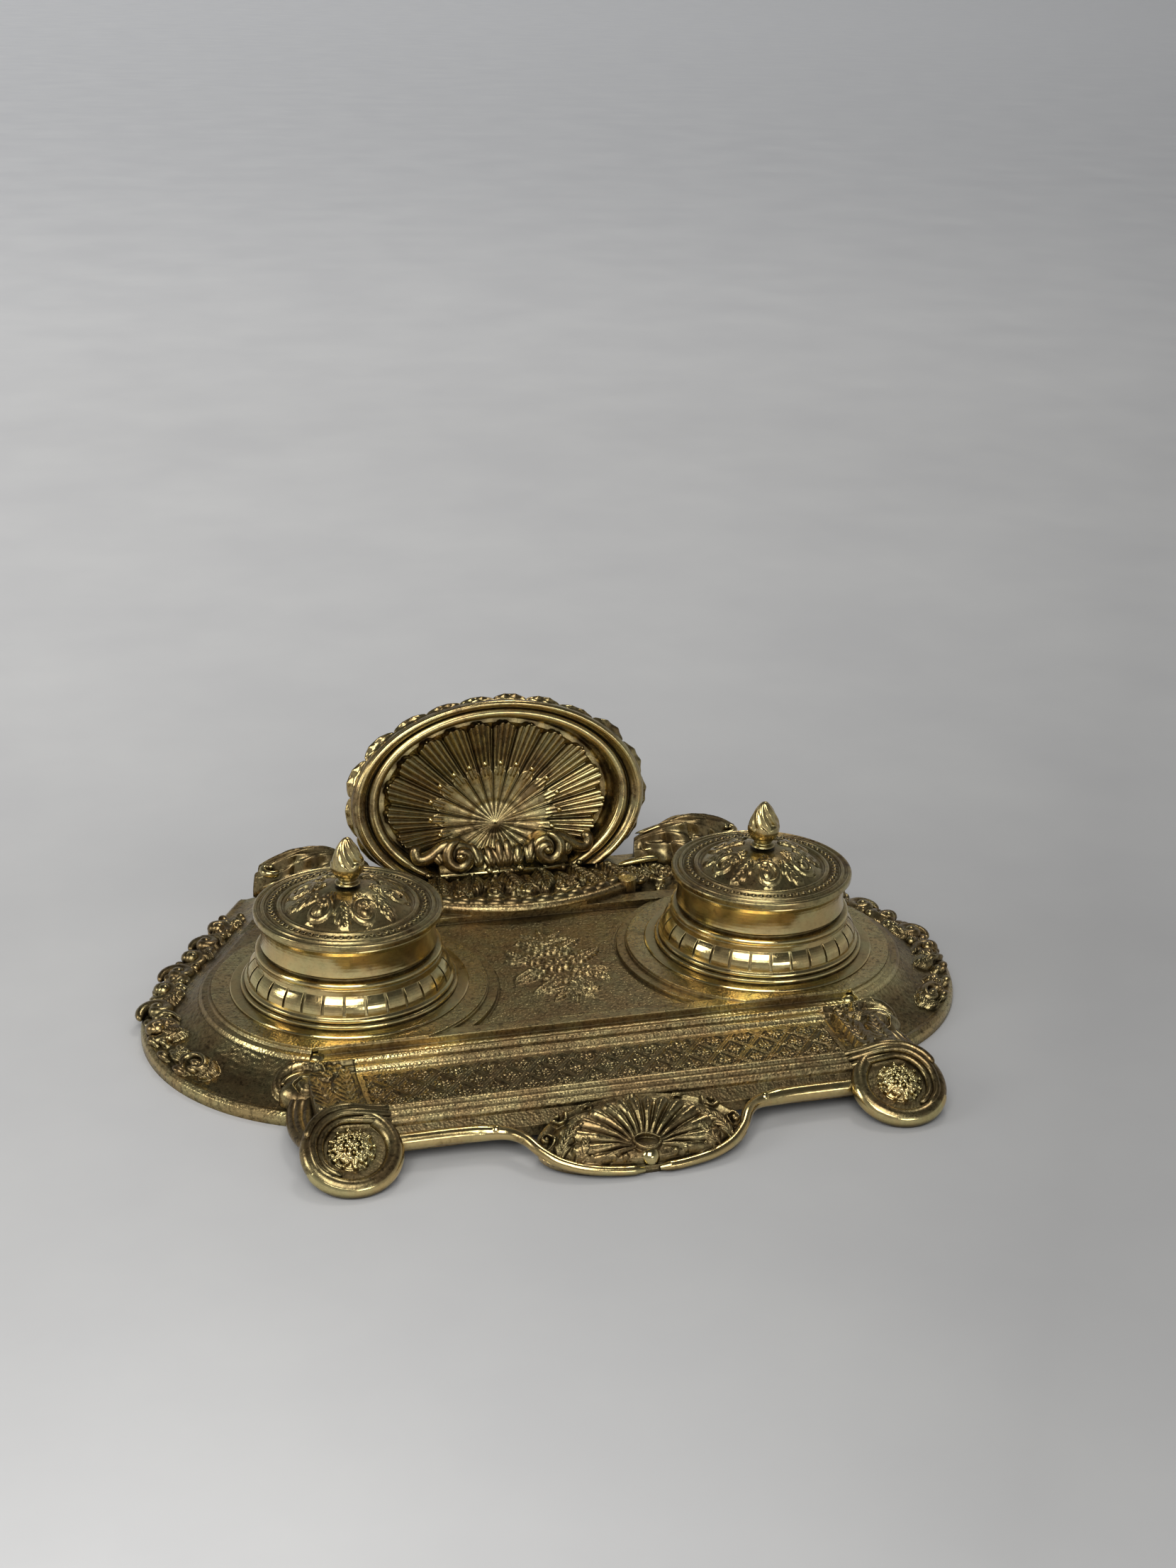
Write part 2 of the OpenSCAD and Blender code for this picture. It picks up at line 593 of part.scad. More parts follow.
module well_body(side) {
    at_well(side, seat_h) difference() {
        rotate_extrude() polygon(concat([[0, 0]], well_outer, [[0, well_h]]));
        translate([0, 0, well_floor]) cylinder(r = bore_r, h = well_h);
        translate([0, 0, well_h - liner_seat]) cylinder(r = rebate_r, h = well_h);
        translate([0, 0, -1]) cylinder(r = bolt_r + hole_play, h = well_h, $fn = 48);
        for (i = [0 : panel_count - 1]) rotate(360 * (i + 0.5) / panel_count)
            translate([swell_r - 3.1, 0, 8.8]) rotate([0, -26, 0]) cube([1.4, 1, 7], center = true);
    }
}
module left_well_body() { color(brass) well_body(-1); }
module right_well_body() { color(brass) well_body(1); }

// Bolt with a round head inside the well, a washer and a square nut under the tray
module well_bolt(side) {
    at_well(side, floor_top) {
        cylinder(r = head_r, h = head_h - 0.8, $fn = 48);
        translate([0, 0, head_h - 0.8]) cylinder(r1 = head_r, r2 = head_r * 0.7, h = 0.8, $fn = 48);
        translate([0, 0, boss_z - washer_t - nut_h - 1 - floor_top])
            cylinder(r = bolt_r, h = floor_top - boss_z + washer_t + nut_h + 1, $fn = 48);
    }
}
module left_well_bolt() { color(iron) well_bolt(-1); }
module right_well_bolt() { color(iron) well_bolt(1); }

module well_washer(side) {
    at_well(side, boss_z - washer_t) difference() {
        cylinder(r = bolt_r * 2.6, h = washer_t, $fn = 48);
        translate([0, 0, -1]) cylinder(r = bolt_r + hole_play, h = washer_t + 2, $fn = 48);
    }
}
module left_well_washer() { color(iron) well_washer(-1); }
module right_well_washer() { color(iron) well_washer(1); }

module well_nut(side) {
    at_well(side, boss_z - washer_t - nut_h) difference() {
        translate([-nut_r, -nut_r, 0]) cube([2 * nut_r, 2 * nut_r, nut_h]);
        translate([0, 0, -1]) cylinder(r = bolt_r + 0.05, h = nut_h + 2, $fn = 48);
    }
}
module left_well_nut() { color(iron) well_nut(-1); }
module right_well_nut() { color(iron) well_nut(1); }

// Glazed cup whose flange hangs on the shoulder of the collar
liner_h = shoulder_z + flange_t - liner_bottom;
module liner(side) {
    inner_r = liner_r - liner_wall;
    at_well(side, liner_bottom) rotate_extrude() polygon(concat(
        [[0, 0], [liner_r - 3, 0]],
        arc([liner_r - 3, 3], 3, -90, 0, 6),
        [[liner_r, liner_h - flange_t], [flange_r, liner_h - flange_t], [flange_r, liner_h - 0.5],
         [flange_r - 0.5, liner_h], [inner_r + 0.5, liner_h], [inner_r, liner_h - 0.5]],
        arc([inner_r - 4, liner_wall + 4], 4, 0, -90, 6),
        [[0, liner_wall]]));
}
module left_liner() { color(porcelain) liner(-1); }
module right_liner() { color(porcelain) liner(1); }

// Lid: ringed brim, domed centre and a locating ring underneath
spigot_r = rebate_r - slip;
rings_in = lid_r - 12;
function dome(r, inner) = let (t = (rings_in - r) / (rings_in - 5))
    3.4 + (dome_h - 3.4) * sin(90 * t) - inner;
lid_outer = concat(
    [[lid_r - 0.7, 0], [lid_r, 0.5], [lid_r, 1.7]],
    arc([lid_r - 0.9, 1.9], 0.9, 10, 150, 6),
    [[lid_r - 2.2, 2.2]],
    arc([lid_r - 3.4, 2.2], 0.9, 20, 160, 6),
    [[lid_r - 4.8, 2.3], [lid_r - 5.4, 2.9], [lid_r - 7.2, 3.1], [lid_r - 7.8, 2.5]],
    arc([lid_r - 9.3, 2.6], 1.1, 20, 160, 6),
    [[lid_r - 11, 2.7]],
    [for (i = [0 : 9]) let (r = lerp(rings_in, 5, i / 9)) [r, dome(r, 0)]]);
lid_inner = concat(
    [[stud_r + hole_play, dome_h - lid_t - 1], [5.5, dome_h - lid_t - 1]],
    [for (i = [1 : 6]) let (r = lerp(6.5, rings_in - 2, i / 6)) [r, dome(r + 1.5, lid_t + 0.2)]],
    [[rings_in, 0.8], [spigot_r - 2, 0.6], [spigot_r - 2, -spigot_h], [spigot_r - 0.4, -spigot_h],
     [spigot_r, -spigot_h + 0.4], [spigot_r, 0]]);
module lid(side) {
    at_well(side, collar_z) rotate_extrude()
        polygon(concat(lid_outer, [[stud_r + hole_play, dome_h]], lid_inner));
}
module left_lid() { color(brass) lid(-1); }
module right_lid() { color(brass) lid(1); }

// Bud finial on a stud, with a nut under the lid
finial_outline = concat(
    [[0, 0], [finial_r * 0.82, 0], [finial_r * 0.84, 0.9], [finial_r * 0.7, 1.6]],
    [for (i = [1 : 12]) let (t = i / 12)
        [finial_r * (t < 0.3 ? lerp(0.72, 1, sin(300 * t)) : pow(cos(90 * (t - 0.3) / 0.72), 0.75)),
         1.6 + (finial_len - 1.6) * t]],
    [[0, finial_len]]);
module finial(side) {
    stud_len = lid_t + 1 + finial_nut_h + 0.8;
    at_well(side, collar_z + dome_h) {
        rotate_extrude() polygon(finial_outline);
        translate([0, 0, -stud_len]) cylinder(r = stud_r, h = stud_len, $fn = 48);
    }
}
module left_finial() { color(brass) finial(-1); }
module right_finial() { color(brass) finial(1); }

module finial_nut(side) {
    at_well(side, collar_z + dome_h - lid_t - 1 - finial_nut_h) difference() {
        cylinder(r = stud_r * 2, h = finial_nut_h, $fn = 6);
        translate([0, 0, -1]) cylinder(r = stud_r + 0.05, h = finial_nut_h + 2, $fn = 48);
    }
}
module left_finial_nut() { color(dark_brass) finial_nut(-1); }
module right_finial_nut() { color(dark_brass) finial_nut(1); }

base_casting();
back_shell();
left_leaf_wing();
right_leaf_wing();
crest_screws();
crest_washers();
left_well_body();
right_well_body();
left_well_bolt();
right_well_bolt();
left_well_washer();
right_well_washer();
left_well_nut();
right_well_nut();
left_liner();
right_liner();
left_lid();
right_lid();
left_finial();
right_finial();
left_finial_nut();
right_finial_nut();
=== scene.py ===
"""Looks of a brass desk inkstand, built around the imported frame.

Places are in millimetres from the point between the two wells, on the table, with +Y to the back;
place() turns them into the frame's metres. side is -1 for the left half and 1 for the right.
"""

import math

import bmesh
import bpy
import numpy as np
from mathutils import Matrix, Vector
from mathutils.bvhtree import BVHTree


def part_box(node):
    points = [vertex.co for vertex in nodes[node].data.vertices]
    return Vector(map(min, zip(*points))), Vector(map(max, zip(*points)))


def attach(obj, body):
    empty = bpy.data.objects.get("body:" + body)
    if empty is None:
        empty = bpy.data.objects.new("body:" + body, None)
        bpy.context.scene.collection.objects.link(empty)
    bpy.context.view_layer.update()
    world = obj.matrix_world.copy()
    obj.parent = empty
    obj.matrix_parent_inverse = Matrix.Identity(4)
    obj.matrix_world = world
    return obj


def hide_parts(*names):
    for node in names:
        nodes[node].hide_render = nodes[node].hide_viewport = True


MM = 0.001
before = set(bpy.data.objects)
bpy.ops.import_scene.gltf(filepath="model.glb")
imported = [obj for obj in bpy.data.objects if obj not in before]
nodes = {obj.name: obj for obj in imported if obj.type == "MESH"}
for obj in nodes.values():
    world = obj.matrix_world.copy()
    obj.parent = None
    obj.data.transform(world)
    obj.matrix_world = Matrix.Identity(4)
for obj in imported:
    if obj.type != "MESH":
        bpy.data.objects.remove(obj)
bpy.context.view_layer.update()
SIDES = {-1: "left", 1: "right"}


# ---- places taken from the frame
def span(node, axis):
    """Lowest and highest value of a node along an axis, in millimetres."""
    lo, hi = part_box(node)
    return lo[axis] / MM, hi[axis] / MM


def middle(node, axis):
    return sum(span(node, axis)) / 2


def half_width(node):
    lo, hi = span(node, 0)
    return (hi - lo) / 2


WELL_X = middle("right_well_body", 0)
SHIFT_Y = middle("right_well_body", 1)
SEAT_Z = span("right_well_body", 2)[0]
LID_Z = span("right_lid", 2)[0]
LID_R = half_width("right_lid")
FINIAL_TOP = span("right_finial", 2)[1]
FINIAL_R = half_width("right_finial")
PLINTH_Z = span("back_shell", 2)[0]
PLINTH_Y = middle("crest_screws", 1) - SHIFT_Y

# Plan and slopes of the casting
SEAT_R, END_R = 50.0, 75.5
BORDER_A0, FLANK_A = -62.0, 28.0
REAR_Y = 104.0
CHANNEL_Y0, CHANNEL_Y1 = -79.8, -56.2
APRON_Y, SKIRT_Y, SKIRT_Z = -94.9, -99.1, 6.2
FOOT_X, FOOT_R, FOOT_TILT = WELL_X + 16, 13.7, 25.0
FOOT_Y = APRON_Y + 5.6 - FOOT_R * math.cos(math.radians(FOOT_TILT))
FOOT_Z = FOOT_R * math.sin(math.radians(FOOT_TILT)) + 2.6
PENDANT_Y, PENDANT_Z, PENDANT_TILT = APRON_Y + 0.6, 12.2, 21.0
PENDANT_W, PENDANT_LEN, PENDANT_FOCUS = 36.0, 31.0, 18.6
SPIGOT = 2.4

# The outline of the shell is that of a taller oval whose foot the terrace cuts off
SHELL_LEAN, SHELL_RISE = 15.0, 0.9
SHELL_A, SHELL_TALL, OVAL_B = 61.5, 71.0, 41.2
OVAL_C = SHELL_RISE + SHELL_TALL - OVAL_B
FOCUS_V = SHELL_RISE + 0.26 * SHELL_TALL
SHELL_RIM, RIM_SQUASH = 12.5, 0.62
LEAF_TIP = 3.0


def place(points):
    """Millimetres from the point between the wells, as metres of the frame."""
    return (np.asarray(points, float) + (0, SHIFT_Y, 0)) * MM


# ---- meshes
WELD_M, SLIVER_M, TABLE_GAP_M = 2e-6, 1e-7, 0.00002


def unit(v):
    return v / np.maximum(np.linalg.norm(v, axis=-1, keepdims=True), 1e-12)


def circle(n):
    return np.linspace(0, 2 * np.pi, n, endpoint=False)


def around(r, a, cx=0.0, cy=0.0):
    """Plan point at distance r and angle a from a centre."""
    return cx + r * np.cos(a), cy + r * np.sin(a)


def xyz(x, y, z):
    """Points whose coordinates are spread over one another."""
    return np.stack(np.broadcast_arrays(x, y, z), -1)


def plan_grid(x, y):
    return np.meshgrid(x, y, indexing="ij")


def clamp(x):
    return np.clip(x, 0, 1)


def dome(x, power=2):
    """An arch that falls from 1 at nought to nought at 1 and beyond."""
    return np.sqrt(clamp(1 - x**power))


def bell(x, width):
    return np.exp(-((x / width) ** 2))


class Heap:
    """Gathers grids of points, in millimetres, into one mesh."""

    def __init__(self):
        self.points, self.faces, self.count = [], [], 0

    def grid(self, g, wrap=False, flip=False):
        """Adds rows of points; wrap joins the last point of each row to its first."""
        g = np.asarray(g, float)
        rows, n = g.shape[:2]
        i = np.arange(rows - 1)[:, None]
        j = np.arange(n if wrap else n - 1)[None, :]
        k = (j + 1) % n
        quads = np.stack([i * n + j, i * n + k, (i + 1) * n + k, (i + 1) * n + j], -1).reshape(-1, 4)
        self.points.append(g.reshape(-1, 3))
        self.faces.append((quads[:, ::-1] if flip else quads) + self.count)
        self.count += rows * n
        return self

    def tube(self, path, radius, sides=14, flat=1.0, up=(0, 0, 1)):
        """Rings round a path; an end closes where the radius is nought. flat squeezes it along up."""
        path = np.asarray(path, float)
        along = unit(np.gradient(path, axis=0))
        side = unit(np.cross(along, np.asarray(up, float)))
        top = np.cross(side, along)
        a = circle(sides)[None, :, None]
        r = np.broadcast_to(np.asarray(radius, float), (len(path),))[:, None, None]
        ring = np.cos(a) * side[:, None] + flat * np.sin(a) * top[:, None]
        return self.grid(path[:, None] + r * ring, wrap=True)

    def ball(self, centre, r, n=10, squash=1.0):
        """A ball of n points round; squash flattens it along Z."""
        a, b = circle(n), np.linspace(-np.pi / 2, np.pi / 2, n // 2 + 2)[:, None]
        ring = xyz(*around(np.cos(b), a), squash * np.sin(b))
        return self.grid(np.asarray(centre) + r * ring, wrap=True)

    def build(self, name, material, body="base", slot="cast_brass"):
        """Makes the mesh and lets it ride on a body; nothing in it dips under the table."""
        pts, quads = place(np.concatenate(self.points)), np.concatenate(self.faces)
        pts[:, 2] = np.maximum(pts[:, 2], TABLE_GAP_M)
        mesh = bpy.data.meshes.new(name)
        mesh.vertices.add(len(pts))
        mesh.vertices.foreach_set("co", pts.astype(np.float32).ravel())
        mesh.loops.add(quads.size)
        mesh.loops.foreach_set("vertex_index", quads.astype(np.int32).ravel())
        mesh.polygons.add(len(quads))
        mesh.polygons.foreach_set("loop_start", np.arange(0, quads.size, 4, dtype=np.int32))
        mesh.update(calc_edges=True)
        bm = bmesh.new()
        bm.from_mesh(mesh)
        bmesh.ops.remove_doubles(bm, verts=bm.verts, dist=WELD_M)
        bmesh.ops.dissolve_degenerate(bm, dist=SLIVER_M, edges=bm.edges)
        for f in bm.faces:
            f.smooth = True
        bm.to_mesh(mesh)
        bm.free()
        mesh.materials.append(material)
        obj = bpy.data.objects.new(name, mesh)
        bpy.context.scene.collection.objects.link(obj)
        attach(obj, body)
        return obj


def smooth_path(points, n):
    """A curve through the points, Catmull-Rom, with n points."""
    p = np.asarray(points, float)
    p = np.vstack([2 * p[0] - p[1], p, 2 * p[-1] - p[-2]])
    s = np.linspace(0, len(p) - 3 - 1e-9, n)
    i = s.astype(int)
    t = (s - i)[:, None]
    a, b, c, d = p[i], p[i + 1], p[i + 2], p[i + 3]
    return 0.5 * (2 * b + (c - a) * t + (2 * a - 5 * b + 4 * c - d) * t**2 + (3 * b - a - 3 * c + d) * t**3)


def tapered(n, radius, tip=0.25):
    """Radius that closes in a round nose over the share tip at both ends of a path of n points."""
    t = np.linspace(0, 1, n)
    e = clamp(np.minimum(t, 1 - t) / tip)
    return radius * dome(1 - e)


def spiral(cu, cv, r, turns, hand, start, n=60):
    """Plan of a scroll that winds in to cu, cv."""
    t = np.linspace(0, 1, n)
    a = start + hand * 2 * np.pi * turns * t
    return np.stack(around(r * (1 - t) ** 0.75, a, cu, cv), 1)


def polar(cx, r0, r1, rows, n):
    """Radius, angle and plan points of a disc round cx."""
    r, a = np.linspace(r0, r1, rows)[:, None], circle(n)[None, :]
    return r, a, *around(r, a, cx)


# ---- relief, as heights over a plan
# Height of a sheet where it carries nothing yet, and the height below which it counts as bare
GROUND, BARE = -0.5, -0.4


class Relief:
    """Heights over a grid of plan points, built up from blooms, leaves, curls and beads."""

    def __init__(self, X, Y):
        self.X, self.Y = X, Y
        self.H = np.full(X.shape, GROUND)

    def near(self, x, y, reach):
        """Rows and columns within reach of a point, with their plan points, or nothing."""
        near = (np.abs(self.X - x) < reach) & (np.abs(self.Y - y) < reach)
        if near.any():
            rows, cols = np.where(near.any(1))[0], np.where(near.any(0))[0]
            win = slice(rows[0], rows[-1] + 1), slice(cols[0], cols[-1] + 1)
            yield win, self.X[win], self.Y[win]

    def raise_to(self, win, h):
        """Keeps the higher of the sheet and h."""
        self.H[win] = np.maximum(self.H[win], h)

    def bloom(self, x, y, r, petals=6, height=1.6, turn=0.0):
        """A flower head of rounded petals about a button."""
        for win, X, Y in self.near(x, y, r * 1.1):
            rho, a = np.hypot(X - x, Y - y), np.arctan2(Y - y, X - x) + turn
            wave = np.abs(np.cos(a * petals / 2))
            t = np.clip(rho / (r * (0.72 + 0.28 * wave**0.7)), 0, 1.5)
            swell = dome(t, 4) * (0.45 + 0.55 * wave**0.6) * (0.55 + 0.6 * t)
            core = 0.35 + 0.75 * dome(rho / (r * 0.3))
            petal, button = np.where(t < 1, swell, -1), np.where(rho < r * 0.3, core, -1)
            self.raise_to(win, height * np.maximum(petal, button))

    def leaf(self, x, y, angle, length, width, bend=0.0, height=1.4, lobes=4, ribs=5.0, n=40):
        """A lobed leaf from its stalk at x, y, turning by bend radians along its length."""
        for win, X, Y in self.near(x, y, length * 1.15):
            s = np.linspace(0, 1, n)
            heading = angle + bend * s
            step = length / (n - 1)
            mx = x + np.concatenate([[0], np.cumsum(np.cos(heading[:-1]))]) * step
            my = y + np.concatenate([[0], np.cumsum(np.sin(heading[:-1]))]) * step
            k = ((X[..., None] - mx) ** 2 + (Y[..., None] - my) ** 2).argmin(-1)
            q, dx, dy, way = s[k], X - mx[k], Y - my[k], heading[k]
            across, along = dx * -np.sin(way) + dy * np.cos(way), dx * np.cos(way) + dy * np.sin(way)
            half = width / 2 * np.sin(np.pi * clamp(0.06 + 0.94 * q) ** 0.75) ** 0.8
            half = half * (0.68 + 0.32 * np.abs(np.sin(np.pi * lobes * (q - 0.35 * np.abs(across) / width))))
            t = np.abs(across) / np.maximum(half, 1e-3)
            inside = (t < 1) & (np.abs(along) < length / 30)
            vein = bell(across, 0.07 * width + 0.12)
            rib = 0.14 * np.cos(2 * np.pi * ribs * (q * 1.6 - np.abs(across) / width))
            h = height * (dome(t, 2.4) * (0.8 + rib) - 0.3 * vein)
            self.raise_to(win, np.where(inside, h, -1.0))

    def ridge(self, path, width, height, taper=0.15):
        """A rounded ridge along a plan path."""
        path = np.asarray(path, float)
        c = path.mean(0)
        for win, X, Y in self.near(c[0], c[1], np.abs(path - c).max() + width):
            s = np.linspace(0, 1, len(path))
            r = width / 2 * (0.35 + 0.65 * clamp(np.minimum(s, 1 - s) / max(taper, 1e-3)))
            best = np.full(X.shape, -1.0)
            for (px, py), rad in zip(path, r):
                d2 = ((X - px) ** 2 + (Y - py) ** 2) / rad**2
                best = np.maximum(best, np.where(d2 < 1, np.sqrt(clamp(1 - d2)) * rad / (width / 2), -1))
            self.raise_to(win, best * height)

    def curl(self, x, y, r, angle, turns=1.25, hand=1, width=1.6, height=1.5):
        """A scroll that winds in to x, y and ends in a round eye."""
        t = np.linspace(0, 1, int(70 * turns))
        a = angle + hand * 2 * np.pi * turns * t
        rad = r * (1 - t) ** 0.8 + width * 0.3
        self.ridge(np.stack(around(rad, a, x, y), 1), width, height)
        self.bead(x, y, width * 0.8, height * 1.15)

    def bead(self, x, y, r, height):
        for win, X, Y in self.near(x, y, r * 1.2):
            d = np.hypot(X - x, Y - y) / r
            self.raise_to(win, np.where(d < 1, height * dome(d), -1))

    def scatter(self, rng, number, x, y, r, height):
        """Beads at random within ranges of place, radius and height."""
        for _ in range(number):
            self.bead(rng.uniform(*x), rng.uniform(*y), rng.uniform(*r), rng.uniform(*height))


def cast_grain(X, Y, size, rng):
    """Smooth noise between -1 and 1 for a cast surface, from a few crossed waves."""
    h = np.zeros(X.shape)
    for _ in range(9):
        a, p = rng.uniform(0, np.pi), rng.uniform(0, 2 * np.pi)
        f = 2 * np.pi / (size * rng.uniform(0.7, 1.6))
        bent = 1.3 * np.sin(0.37 * f * (X * np.sin(a) - Y * np.cos(a)))
        h += np.sin(f * (X * np.cos(a) + Y * np.sin(a)) + p + bent)
    return h / 9


def stipple(X, Y, pitch, height):
    return height * np.sin(2 * np.pi * X / pitch) * np.sin(2 * np.pi * Y / pitch)


def fade(X, Y, x, y, dx, dy):
    """1 inside the ranges x and y, falling to 0 at their ends over dx and dy."""
    to_ends = [(X - x[0]) / dx, (x[1] - X) / dx, (Y - y[0]) / dy, (y[1] - Y) / dy]
    return clamp(np.minimum.reduce(to_ends))


def tree_of(name):
    """A search tree over the mesh of a node."""
    mesh = nodes[name].data
    return BVHTree.FromPolygons([v.co.copy() for v in mesh.vertices], [list(p.vertices) for p in mesh.polygons])


def drop(tree, X, Y):
    """Heights, in millimetres, at which the plan points meet a mesh from above."""
    out = np.zeros(X.shape)
    for i in np.ndindex(X.shape):
        hit = tree.ray_cast(Vector((X[i] * MM, (Y[i] + SHIFT_Y) * MM, 0.3)), Vector((0, 0, -1)))
        if hit[0] is not None:
            out[i] = hit[0].z / MM
    return out


# ---- materials
GOLD = (0.79, 0.64, 0.31)
OLIVE = (0.24, 0.178, 0.09)
BROWN = (0.13, 0.086, 0.045)
UMBER = (0.022, 0.014, 0.007)
WARM, COOL = (1.0, 0.93, 0.86), (0.94, 1.0, 0.97)


class Nodes:
    """Short hands for one material's node tree."""

    def __init__(self, name):
        self.mat = bpy.data.materials.new(name)
        self.mat.use_nodes = True
        self.tree = self.mat.node_tree
        self.tree.nodes.clear()
        self.shader = self.node("ShaderNodeBsdfPrincipled")
        self.link(self.shader.outputs[0], self.node("ShaderNodeOutputMaterial").inputs[0])
        self.coords = self.node("ShaderNodeTexCoord").outputs["Object"]

    def node(self, kind, **values):
        n = self.tree.nodes.new(kind)
        for key, value in values.items():
            if key in n.inputs:
                n.inputs[key].default_value = value
            else:
                setattr(n, key, value)
        return n

    def link(self, a, b):
        self.tree.links.new(a, b)

    def feed(self, socket, value):
        if isinstance(value, bpy.types.NodeSocket):
            self.link(value, socket)
        else:
            socket.default_value = (*value, 1) if isinstance(value, tuple) else value

    def noise(self, scale, detail=4.0, roughness=0.6, vector=None):
        n = self.node("ShaderNodeTexNoise", Scale=scale, Detail=detail, Roughness=roughness)
        self.link(vector or self.coords, n.inputs["Vector"])
        return n.outputs[0]

    def ramp(self, source, *stops):
        """Grey levels or colours at places along 0 to 1."""
        n = self.node("ShaderNodeValToRGB")
        while len(n.color_ramp.elements) < len(stops):
            n.color_ramp.elements.new(0.5)
        for element, (at, value) in zip(n.color_ramp.elements, stops):
            element.position = at
            element.color = (*value, 1) if isinstance(value, tuple) else (value, value, value, 1)
        self.link(source, n.inputs[0])
        return n.outputs[0]

    def mix(self, factor, a, b, blend="MIX"):
        n = self.node("ShaderNodeMix", data_type="RGBA", blend_type=blend)
        self.feed(n.inputs[0], factor)
        self.feed(n.inputs[6], a)
        self.feed(n.inputs[7], b)
        return n.outputs[2]

    def maths(self, op, a, b=0.0, clamp=False):
        n = self.node("ShaderNodeMath", operation=op, use_clamp=clamp)
        self.feed(n.inputs[0], a)
        self.feed(n.inputs[1], b)
        return n.outputs[0]

    def surface(self, **values):
        """Feeds the shader's inputs, with _ for a space in their names, and gives the material."""
        for key, value in values.items():
            self.feed(self.shader.inputs[key.replace("_", " ")], value)
        return self.mat

    def times(self, a, b):
        return self.maths("MULTIPLY", a, b)

    def plus(self, base, value, share):
        """base + share of value."""
        return self.maths("ADD", base, self.times(value, share))

    def axes(self):
        """X, Y and Z in metres."""
        split = self.node("ShaderNodeSeparateXYZ")
        self.link(self.coords, split.inputs[0])
        return split.outputs

    def from_axis(self):
        """Distance, in metres, from the nearer of the two well axes."""
        flat = self.node("ShaderNodeVectorMath", operation="MULTIPLY")
        self.link(self.coords, flat.inputs[0])
        flat.inputs[1].default_value = (1, 1, 0)
        away = []
        for side in SIDES:
            d = self.node("ShaderNodeVectorMath", operation="DISTANCE")
            self.link(flat.outputs[0], d.inputs[0])
            d.inputs[1].default_value = (side * WELL_X * MM, SHIFT_Y * MM, 0)
            away.append(d.outputs["Value"])
        return self.maths("MINIMUM", *away)

    def bump(self, height, distance, strength, normal=None):
        b = self.node("ShaderNodeBump", Distance=distance, Strength=strength)
        self.link(height, b.inputs["Height"])
        if normal is not None:
            self.link(normal, b.inputs["Normal"])
        return b.outputs[0]


